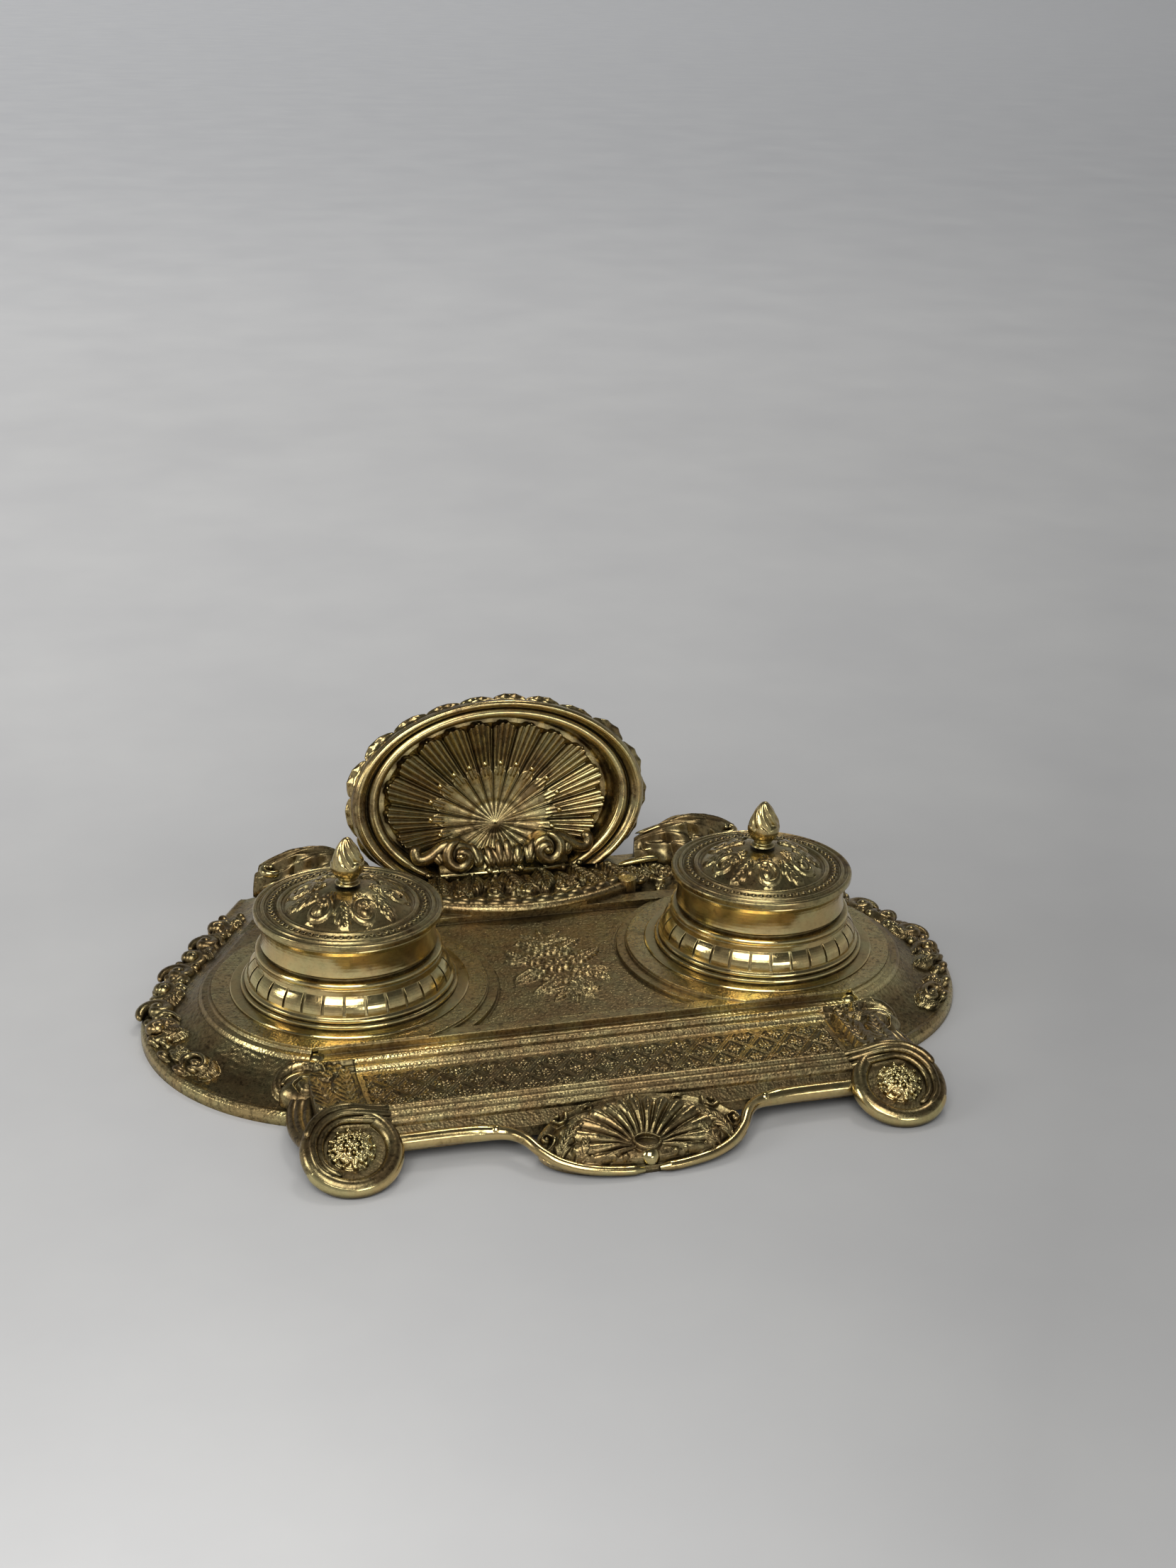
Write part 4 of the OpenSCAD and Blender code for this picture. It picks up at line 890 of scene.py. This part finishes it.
def make_terrace():
    """Leafy ground between the shell and the ledge, and the leaves that lie along the ledge."""
    X, Y = plan_grid(np.linspace(*TERRACE_X, 351), np.arange(*TERRACE_Y, 0.4))
    relief, rng = Relief(X, Y), np.random.default_rng(41)
    for k in range(-4, 5):
        x, hand = 14.0 * k, (-1) ** k
        relief.leaf(x, 88.0, -math.pi / 2 + 0.12 * k, 20.0, 11.0, 0.4 * hand, 3.6, 3)
        relief.leaf(x + 7.0, 84.0, -math.pi / 2 + 0.16 * k, 17.0, 9.0, -0.5 * hand, 3.0, 3)
        relief.curl(x + 6.0, 70.0, 3.8, 0.4 * k, 1.1, hand, 2.4, 2.8)
    relief.scatter(rng, 40, (-68, 68), (60, 90), (1.0, 1.8), (1.4, 3.0))
    H = relief.H + 0.15 * cast_grain(X, Y, 2.2, rng)
    inside = fade(X, Y, TERRACE_X, TERRACE_Y, 2, 2)
    Z = drop(BASE_TREE, X, Y)
    low = Z < TERRACE_TOP
    Z = np.minimum(Z, TERRACE_TOP) + np.where(low, (H + 0.6) * inside - 0.4 * (1 - inside), -0.5)
    heap = Heap().grid(xyz(X, Y, Z), flip=True)
    top = SEAT_Z + 0.8
    for k in range(-7, 8):
        mid = 270 + LEDGE_HALF * k / 7.0
        a = np.radians(np.linspace(mid - 3.6, mid + 3.6, 20))
        lift = 0.9 * np.sin(np.linspace(0, np.pi, 20))
        path = xyz(*around(LEDGE_R, a, 0.0, LEDGE_BOW - 0.5), top + lift)
        heap.tube(path, tapered(20, 2.9 + 0.3 * (k % 2), 0.45), 14, 0.8)
    bead_r = LEDGE_R - 4.2
    for k in range(-19, 20):
        heap.ball((*around(bead_r, math.radians(270 + 1.72 * k), 0.0, LEDGE_BOW), top - 0.4), 1.25)
    for side in SIDES:
        for dx, dy, dz, size in LEDGE_CURLS:
            plan = spiral(side * (42.0 + dx), 61.0 + dy, size, 1.2, side, 0.6)
            heap.tube(np.column_stack([plan, np.linspace(top + dz - 1.6, top + dz + 0.6, 60)]),
                      tapered(60, 1.5, 0.15), 10)
    heap.build("terrace_leaves", FOLIAGE)


ENDS_X, ENDS_Y = (84.5, 104.0), (-85.0, -50.0)


def make_ends(side, name):
    """Leaves that close an end of the pen channel, beside the front corner."""
    X, Y = plan_grid(np.arange(*ENDS_X, 0.32), np.arange(*ENDS_Y, 0.32))
    relief, rng = Relief(X, Y), np.random.default_rng(57 + side)
    relief.leaf(90.0, -84.0, 1.45, 30.0, 12.0, 0.35, 1.7, 3)
    relief.leaf(99.0, -84.0, 1.65, 26.0, 10.0, -0.4, 1.6, 3)
    relief.leaf(95.0, -62.0, 1.0, 12.0, 9.0, 0.8, 1.8, 2)
    relief.bloom(93.0, -55.5, 4.6, 5, 1.8, 0.2)
    relief.scatter(rng, 14, (86, 103), (-84, -52), (1.0, 1.7), (1.0, 1.6))
    H = relief.H + 0.1 * cast_grain(X, Y, 2.0, rng)
    inside = fade(X, Y, ENDS_X, ENDS_Y, 1.2, 1.2)
    Z = drop(BASE_TREE, side * X, Y) + (0.62 * H + 0.6) * inside - 0.5 * (1 - inside)
    Heap().grid(xyz(side * X, Y, np.maximum(Z, 5.0)), flip=side > 0).build(f"{name}_end_leaf", FOLIAGE)


TRELLIS_X, TRELLIS_Y = (-84.2, 84.2), (CHANNEL_Y0 + 0.4, CHANNEL_Y1 - 0.6)
TRELLIS_PITCH, TRELLIS_SLANT = 11.6, 0.82


def make_channel():
    """Trellis of ribbons on the floor of the pen channel, with a rosette in each diamond."""
    X, Y = plan_grid(np.arange(*TRELLIS_X, 0.34), np.linspace(*TRELLIS_Y, 72))
    mid = (CHANNEL_Y0 + CHANNEL_Y1) / 2
    H = np.zeros(X.shape)
    for slant in (1, -1):
        across = (X + slant * (Y - mid) * TRELLIS_SLANT) % TRELLIS_PITCH - TRELLIS_PITCH / 2
        ribbon = dome(across / 1.5)
        H = np.maximum(H, 0.6 * ribbon - 0.35 * bell(across, 0.3) * (ribbon > 0))
    relief = Relief(X, Y)
    for j in range(-2, 3):
        for i in range(-9, 10):
            px = i * TRELLIS_PITCH + (0 if j % 2 == 0 else TRELLIS_PITCH / 2)
            py = mid + j * (TRELLIS_PITCH / TRELLIS_SLANT / 2)
            if CHANNEL_Y0 + 2 < py < CHANNEL_Y1 - 2 and abs(px) < 82:
                relief.bloom(px, py, 2.9, 6, 0.7, 0.3 * i)
                for dx, dy in ((3.6, 0), (0, 3.4), (-3.6, 0), (0, -3.4)):
                    relief.bead(px + dx, py + dy, 0.75, 0.6)
    H = np.maximum(H, relief.H) + 0.08 * cast_grain(X, Y, 1.8, np.random.default_rng(3))
    edge = fade(X, Y, TRELLIS_X, TRELLIS_Y, 1.4, 1.2)
    Z = drop(BASE_TREE, X, Y) + (H + 0.12) * edge - 0.4 * (1 - edge)
    Heap().grid(xyz(X, Y, Z), flip=True).build("channel_trellis", FOLIAGE)


TRAY_X, TRAY_Y = (-34.6, 34.6), (-40.6, 45.0)


def make_tray():
    """Bouquet and stippled ground on the floor of the sunken tray."""
    X, Y = plan_grid(np.arange(*TRAY_X, 0.34), np.arange(*TRAY_Y, 0.34))
    relief, rng = Relief(X, Y), np.random.default_rng(17)
    for k, turn in enumerate(circle(8) + 0.3):
        px, py = 9.5 * math.cos(turn), 2 + 13.0 * math.sin(turn)
        relief.bloom(px, py, 4.4, 6 + k % 2, 1.7, turn)
        relief.leaf(px, py, turn, 13.0, 6.4, 0.8 * (-1) ** k, 1.5, 4)
        relief.leaf(px, py, turn + 0.8, 11.0, 5.2, -0.9, 1.3, 4)
    relief.bloom(0, 2, 5.4, 8, 2.0)
    for k in range(-2, 3):
        for y, way, length in ((-15, -math.pi / 2, 14), (19, math.pi / 2, 15)):
            relief.leaf(0, y, way + 0.42 * k, length - abs(k), 5.0, 0.5 * k, 1.3, 4)
    H = np.where(relief.H > BARE, relief.H, stipple(X, Y, 1.15, 0.12)) + 0.08 * cast_grain(X, Y, 1.8, rng)
    Z = drop(BASE_TREE, X, Y)
    floor = np.median(Z)
    # Only the flat floor is dressed; the sheet dips under the casting round it
    flat = np.abs(Z - floor) < 0.05
    for _ in range(2):
        flat[1:-1, 1:-1] &= flat[2:, 1:-1] & flat[:-2, 1:-1] & flat[1:-1, 2:] & flat[1:-1, :-2]
    flat[[0, -1]] = flat[:, [0, -1]] = False
    Z = np.where(flat, floor + 0.1 + H, floor - 0.4)
    Heap().grid(xyz(X, Y, Z), flip=True).build("tray_bouquet", CAST)


# ---- scroll feet and corners
FOOT_COS, FOOT_SIN = math.cos(math.radians(FOOT_TILT)), math.sin(math.radians(FOOT_TILT))
FOOT_OUT = (0, -FOOT_SIN, FOOT_COS)
PATERA_R = 8.4
# The three ridges of the front, from where they reach the foot to where they fade on its outer side:
# across the foot, up its slope and off its face, each with its radius
FOOT_RIDGES = {
    1.5: [(-16, 15.5, -1.6), (-8, 15.5, 0.2), (-1, 15.5, 2.4), (5.5, 14.3, 2.9), (11, 10.4, 2.9), (14.2, 5, 2.7)],
    1.45: [(-16, 12.4, -0.6), (-9, 12.4, 1.8), (-3, 12.8, 3.1), (3, 12.4, 3.2), (8.2, 9.6, 3.1), (11.8, 4.4, 2.7),
           (12.4, -1.5, 2.4), (10.8, -7, 2.2), (6.5, -11, 1.9)],
    1.4: [(-16, 9.3, 0.2), (-10, 9.5, 1.6), (-4, 10.2, 2.1), (2, 10.6, 2.1), (7, 8, 1.9), (9.8, 3.4, 1.7),
          (10.2, -2, 1.6), (8.4, -6.6, 1.6), (4.4, -9.6, 1.4)],
}


def on_foot(side, p, q, h):
    """Across, up the slope and off the face of a scroll foot, as millimetres of the inkstand."""
    return xyz(side * (FOOT_X + p), FOOT_Y + q * FOOT_COS - h * FOOT_SIN, FOOT_Z + q * FOOT_SIN + h * FOOT_COS)


def make_foot(side, name):
    """Patera, ridges, dull roll and gold lower edge of a foot, and the corner behind it."""
    rng = np.random.default_rng(31 + side)
    r, _, P, Q = polar(0.0, 0.0, PATERA_R, 60, 220)
    relief = Relief(P, Q)
    relief.bloom(0, 0, 2.6, 6, 1.5)
    for turn in circle(6):
        mid = turn + 0.5
        relief.bloom(*around(4.6, turn), 2.2, 5, 1.5, turn)
        relief.leaf(*around(4.2, mid), mid, 3.6, 2.4, 0.4, 1.2, 3, 4.0)
        for far, size, way, height in ((7.2, 0.9, mid, 1.5), (2.9, 0.55, mid, 1.5), (7.3, 0.7, turn, 1.3)):
            relief.bead(*around(far, way), size, height)
    pad_r, pad_sink, pad_top = FOOT_R * 0.86, FOOT_R * 0.62, FOOT_R * 0.236
    pad = np.minimum(np.sqrt(pad_r**2 - np.minimum(r, pad_r) ** 2) - pad_sink, pad_top)
    edge = clamp((PATERA_R - r) / 0.6)
    H = np.maximum(pad, 0.9) + 0.1 + (relief.H - GROUND) * 0.8 * edge
    H = H + 0.06 * cast_grain(P, Q, 1.4, rng) - (1 - edge) * 0.9
    Heap().grid(on_foot(side, P, Q, H), wrap=True, flip=side > 0).build(f"{name}_patera", BRIGHT)
    ridges, roll, gold = Heap(), Heap(), Heap()
    for radius, path in FOOT_RIDGES.items():
        ridges.tube(on_foot(side, *smooth_path(path, 110).T), tapered(110, radius, 0.08), 12)
    ridges.build(f"{name}_foot_ridges", FOLIAGE)
    for heap, a, rim_r, h, thick in (
            (roll, np.linspace(0, 2 * np.pi, 150), FOOT_R, 0.12, 3.0),
            (gold, np.radians(np.linspace(-196, -12, 110)), FOOT_R + 0.2, -0.15,
             np.interp(np.linspace(0, 1, 110), [0, 0.1, 0.9, 1], [2.2, 3.15, 3.1, 2.4]))):
        heap.tube(on_foot(side, *around(rim_r, a), h), thick, 20, 1.0, FOOT_OUT)
    roll.build(f"{name}_foot_roll", RELIEF)
    gold.build(f"{name}_foot_edge", POLISHED)
    make_corner(side, name)


CURL_AT, CURL_R, CURL_H, CURL_TURNS = (102.3, -61.0, 7.4), 9.8, 5.4, 1.15
NOTCH_AT = (98.0, -45.6, 11.2)
# The neck from the curl to the foot is a bundle of rolls: shift across and radius of each
NECK_ROLLS = ((-4.2, 2.6), (-1.4, 3.1), (1.6, 2.9), (4.0, 2.3))


def make_corner(side, name):
    """The domed curl at the front corner and the broad neck that runs from it to the foot."""
    cx, cy, cz = CURL_AT
    rng = np.random.default_rng(71 + side)
    r, a = np.linspace(0, 1, 50)[:, None], circle(160)[None, :]
    wave = 1 + 0.05 * np.cos(6 * a)
    wind = ((a / (2 * np.pi) + CURL_TURNS * r) % 1.0) - 0.5
    swell = dome(r, 2.2) * (1 - 0.26 * bell(wind, 0.07) * clamp(r * 3))
    X = cx + CURL_R * r * wave * np.cos(a)
    Y = cy + CURL_R * 0.92 * r * wave * np.sin(a)
    Z = cz + CURL_H * swell + 0.088 * (Y - cy) + 0.05 * cast_grain(X, Y, 2.0, rng) - 2.5 * (r > 0.995)
    Heap().grid(xyz(side * X, Y, Z), wrap=True, flip=side > 0).build(f"{name}_corner_curl", RELIEF)
    leaf, rolls = Heap(), Heap()
    t = np.radians(np.linspace(25, 215, 70))
    rolls.tube(xyz(side * (cx + 0.97 * CURL_R * np.cos(t)), cy + 0.9 * CURL_R * np.sin(t), cz + 2.2),
               tapered(70, 1.5, 0.2), 12)
    # A lump of leaf covers the notch where the seat's edge runs into the front
    rolls.ball(NOTCH_AT * np.array((side, 1, 1)), 3.9, 22, 0.75)
    rolls.build(f"{name}_corner_rolls", RIM)
    for shift, radius in NECK_ROLLS:
        path = smooth_path([(cx + 0.5 + shift, cy - 3.0, cz + 1.2), (cx + 3.0 + shift, cy - 11.0, cz - 0.6),
                            (cx + 4.4 + shift * 0.85, cy - 20.0, 6.6), (cx + 3.8 + shift * 0.7, cy - 28.0, 6.8),
                            (cx + 1.6 + shift * 0.6, cy - 35.0, 8.0)], 60)
        leaf.tube(path * (side, 1, 1), tapered(60, radius, 0.2), 14, 0.9)
    leaf.build(f"{name}_corner_leaf", FOLIAGE)


# ---- the hanging scallop
FAN_V, FAN_W, FAN_H, FAN_FLUTES, FAN_DROOP = -21.0, 27.0, 18.5, 15, 0.35
# Swell of its face: share of the way to the outline, and height
FACE = np.array([(0.0, 1.2), (0.08, 1.4), (0.25, 2.5), (0.45, 3.4), (0.65, 3.1), (0.8, 2.0), (0.88, 0.9),
                 (0.94, 1.6), (1.0, 0.5)])
# Lower edge of the front, from the ball to the foot: across, along the scallop's slope and off its face
EDGE_LINE = [(2.5, -30.8, 0.8), (11, -30.2, 0.9), (21, -28.2, 1.0), (29, -24.4, 1.1), (34.6, -18.8, 1.0),
             (38.2, -12.8, 0.2), (43, -8.0, -1.8), (50, -5.6, -3.2), (60, -4.8, -3.5), (75, -4.8, -3.5),
             (91, -4.8, -3.6)]
# Radius of that edge: broad under the ridges, thin where it dips round the scallop
EDGE_X, EDGE_THICK = [2.5, 6, 34, 42, 52, 88, 91], [0.9, 1.7, 1.8, 2.1, 2.9, 2.9, 0]


def pendant_point(e, v, h):
    """Across, up the slope and off the face of the hanging scallop."""
    c, s = math.cos(math.radians(PENDANT_TILT)), math.sin(math.radians(PENDANT_TILT))
    return xyz(e, PENDANT_Y + v * c - h * s, PENDANT_Z + v * s + h * c)


def fan_height(E, V):
    """A fan of flutes that spreads upward from the ball."""
    phi = np.arctan2(V - FAN_V + 2.0, E)
    fan = np.hypot(E / FAN_W, (V - FAN_V) / FAN_H)
    live = (phi > -FAN_DROOP) & (phi < np.pi) | (phi < -np.pi + FAN_DROOP)
    arc = np.pi + 2 * FAN_DROOP
    spread = clamp((phi + FAN_DROOP) / arc)
    spread = np.where(phi < -np.pi / 2, (phi + 2 * np.pi + FAN_DROOP) / arc, spread)
    wave = np.abs(np.sin(np.pi * FAN_FLUTES * spread)) ** 0.7
    end = clamp((0.86 + 0.10 * wave - fan) / 0.05)
    return np.where(live, (2.0 * wave - 0.9) * clamp((fan - 0.16) / 0.2) * end, 0) - 0.9 * (1 - end)


def make_pendant():
    """The scallop between two leaf scrolls, the gold edge below it, and its balls."""
    a, share = circle(460)[None, :], np.linspace(0.0, 0.985, 130)[:, None]
    drop_v = PENDANT_LEN - PENDANT_FOCUS
    rim_v = np.where(np.sin(a) > 0, PENDANT_FOCUS, drop_v) * np.sin(a) - PENDANT_FOCUS
    E, V = share * PENDANT_W * np.cos(a), FAN_V + share * (rim_v - FAN_V)
    r = np.hypot(E / PENDANT_W, (V + PENDANT_FOCUS) / np.where(V > -PENDANT_FOCUS, PENDANT_FOCUS, drop_v))
    base = np.interp(r, FACE[:, 0], FACE[:, 1]) + 1.5 * clamp(r) * clamp((0.86 - r) / 0.1)
    relief, up = Relief(E, V), math.pi / 2
    for side in SIDES:
        relief.leaf(side * 29.5, -24.0, up + side * 0.3, 17.0, 6.0, side * 0.9, 2.6, 5)
        relief.leaf(side * 25.0, -26.5, up + side * 1.0, 13.0, 5.0, -side * 1.2, 2.2, 4)
        relief.curl(side * 26.8, -6.8, 3.4, up, 1.3, side, 1.5, 2.4)
        relief.curl(side * 32.0, -15.5, 2.4, -up, 1.2, -side, 1.3, 2.2)
        relief.leaf(side * 14.0, -3.6, up - side * 1.1, 9.0, 3.6, -side * 0.6, 2.0, 4)
        for k in range(5):
            relief.bead(side * (8.5 + 3.6 * k), -27.3 + 0.55 * k, 1.15 - 0.1 * k, 1.7)
    ring = np.linspace(0, 2 * np.pi, 50)
    relief.ridge(np.stack([4.4 * np.cos(ring), FAN_V - 1.0 + 4.0 * np.sin(ring)], 1), 1.5, 2.4, 0.0)
    relief.leaf(0, -3.0, up, 3.4, 4.0, 0.0, 1.6, 3)
    H = base + np.maximum(fan_height(E, V), np.where(relief.H > 0, relief.H, 0) - 0.6) + 0.3
    H = H + 0.06 * cast_grain(E, V, 1.6, np.random.default_rng(9))
    Heap().grid(pendant_point(E, V, H), wrap=True, flip=True).build("pendant_scallop", RELIEF)
    edge, balls = Heap(), Heap()
    line = smooth_path(EDGE_LINE, 170)
    balls.ball(pendant_point(0.0, -26.8, 2.1), 3.4, 28)
    for side in SIDES:
        edge.tube(pendant_point(*(line * (side, 1, 1)).T), np.interp(line[:, 0], EDGE_X, EDGE_THICK), 16)
        balls.ball((side * 46.5, SKIRT_Y - 0.6, SKIRT_Z + 2.2), 1.9, 16)
        balls.ball(pendant_point(side * 6.4, -26.4, 2.8), 1.3, 14)
    edge.build("pendant_edge", POLISHED)
    balls.build("pendant_scrolls", BRIGHT)


# ---- camera, light and floor
CAM_AZ, CAM_EL, CAM_ROLL = -15.69, 22.19, 1.42
CAM_PLACE = place((-180.3, -676.5, 372.9))
FOCAL_PX, IMAGE_H, SENSOR_MM = 2954.9, 2212.0, 36.0
FLOOR_HALF, NEAR_FLOOR = 15.0, 0.3
AIM = (0, 0, 0.02)
# The window: direction, distance, size of a pane, gap between panes, and power of each
WINDOW_AZ, WINDOW_EL, WINDOW_FAR, PANE, PANE_GAP, PANE_W = -24.0, 50.0, 2.2, 0.62, 0.10, 8.0
# The other lights: place, size, power and colour
LIGHTS = {"side_window": ((-2.2, 0.1, 1.2), (0.5, 1.0), 12, (1.0, 0.98, 0.95)),
          "front": ((0.5, -2.2, 0.7), (0.9, 0.3), 5, (1, 1, 1)),
          "lamp": ((0.5, 0.9, 1.7), (0.4, 0.4), 6, (1.0, 0.97, 0.92))}
# Brightness of the surroundings: for diffuse light, and in reflections at the horizon and overhead
DIFFUSE_SKY, LOW_SKY, HIGH_SKY = 0.62, (0.05, 0.42), (0.75, 0.06)


def toward(az, el):
    """Unit vector at an azimuth from the front and a height, in degrees."""
    az, el = math.radians(az), math.radians(el)
    return Vector((math.sin(az) * math.cos(el), -math.cos(az) * math.cos(el), math.sin(el)))


def make_camera():
    roll, back = math.radians(CAM_ROLL), toward(CAM_AZ, CAM_EL)
    right = Vector((0, 0, 1)).cross(back).normalized()
    up = back.cross(right)
    right, up = right * math.cos(roll) + up * math.sin(roll), up * math.cos(roll) - right * math.sin(roll)
    cam = bpy.data.cameras.new("camera")
    cam.sensor_fit = "VERTICAL"
    cam.sensor_height = SENSOR_MM
    cam.lens = FOCAL_PX * SENSOR_MM / IMAGE_H
    cam.clip_start, cam.clip_end = 0.01, 80
    obj = bpy.data.objects.new("camera", cam)
    bpy.context.scene.collection.objects.link(obj)
    turn = Matrix((right, up, back)).transposed().to_4x4()
    obj.matrix_world = Matrix.Translation(Vector(CAM_PLACE)) @ turn
    bpy.context.scene.camera = obj


def area_light(name, place_m, target, size, power, colour):
    light = bpy.data.lights.new(name, "AREA")
    light.shape = "RECTANGLE"
    light.size, light.size_y = size
    light.energy = power
    light.color = colour
    obj = bpy.data.objects.new(name, light)
    obj.location = place_m
    obj.rotation_euler = (Vector(target) - Vector(place_m)).to_track_quat("-Z", "Y").to_euler()
    bpy.context.scene.collection.objects.link(obj)


def floor_with_painted_falloff():
    """Pale paint with painted shading: its tone falls off to the right and changes with distance from the camera."""
    n = Nodes("painted_floor")
    cloud, (x, y, _) = n.noise(9.0, 5.0), n.axes()
    dx, dy = n.maths("SUBTRACT", x, CAM_PLACE[0]), n.maths("SUBTRACT", y, CAM_PLACE[1])
    away = n.maths("SQRT", n.maths("ADD", n.times(dx, dx), n.times(dy, dy)))
    # Painted shading: tone set by distance from the camera
    depth = n.ramp(n.maths("DIVIDE", NEAR_FLOOR, away),
                   (0.03, 0.86), (0.18, 0.52), (0.375, 0.375), (0.55, 0.405), (0.72, 0.50))
    # Painted shading: darker to the right of the camera
    across = n.ramp(n.maths("DIVIDE", dx, n.maths("MAXIMUM", dy, 0.01)), (0.0, 1.0), (0.6, 0.63))
    tone = n.mix(n.ramp(cloud, (0.35, 0.0), (0.7, 1.0)), (1.0, 1.0, 1.005), (1.06, 1.06, 1.055))
    return n.surface(Base_Color=n.mix(1.0, n.mix(1.0, tone, depth, "MULTIPLY"), across, "MULTIPLY"),
                     Roughness=n.plus(0.5, cloud, 0.2), Normal=n.bump(cloud, 0.0004, 0.4))


def make_world():
    """Surroundings: pale near the horizon and dark overhead in reflections, even for the rest."""
    world = bpy.data.worlds.new("world")
    world.use_nodes = True
    tree = world.node_tree
    back = tree.nodes["Background"]
    rays = tree.nodes.new("ShaderNodeLightPath")
    split = tree.nodes.new("ShaderNodeSeparateXYZ")
    tree.links.new(tree.nodes.new("ShaderNodeTexCoord").outputs["Generated"], split.inputs[0])
    sky = tree.nodes.new("ShaderNodeValToRGB")
    for element, (at, level) in zip(sky.color_ramp.elements, (LOW_SKY, HIGH_SKY)):
        element.position, element.color = at, (level, level, level, 1)
    tree.links.new(split.outputs[2], sky.inputs[0])
    gloss = tree.nodes.new("ShaderNodeMix")
    gloss.inputs[2].default_value = DIFFUSE_SKY
    tree.links.new(rays.outputs["Is Glossy Ray"], gloss.inputs[0])
    tree.links.new(sky.outputs[0], gloss.inputs[3])
    tree.links.new(gloss.outputs[0], back.inputs[1])
    back.inputs[0].default_value = (0.97, 0.98, 1.0, 1)
    bpy.context.scene.world = world


def make_stage():
    """The floor, the surroundings, two by two window panes above and behind the camera, and the other lights."""
    mesh, h = bpy.data.meshes.new("floor"), FLOOR_HALF
    mesh.from_pydata([(-h, -h, 0), (h, -h, 0), (h, h, 0), (-h, h, 0)], [], [(0, 1, 2, 3)])
    floor = bpy.data.objects.new("floor", mesh)
    bpy.context.scene.collection.objects.link(floor)
    mesh.materials.append(floor_with_painted_falloff())
    make_world()
    centre = toward(WINDOW_AZ, WINDOW_EL) * WINDOW_FAR
    right = Vector((0, 0, 1)).cross(centre).normalized()
    up = centre.cross(right).normalized()
    for i in (-1, 1):
        for j in (-1, 1):
            at = centre + (right * i + up * j) * (PANE + PANE_GAP) / 2
            area_light(f"pane_{i + 1}_{j + 1}", at, at - centre, (PANE, PANE), PANE_W, (1.0, 0.985, 0.95))
    for name, (at, size, power, colour) in LIGHTS.items():
        area_light(name, at, AIM, size, power, colour)


# ---- the whole inkstand
make_shell()
make_wings()
for hand, hand_name in SIDES.items():
    make_lid(hand, hand_name)
    make_border(hand, hand_name)
    make_foot(hand, hand_name)
    make_ends(hand, hand_name)
make_terrace()
make_channel()
make_tray()
make_pendant()
make_camera()
make_stage()
bpy.context.scene.view_settings.view_transform = "Standard"
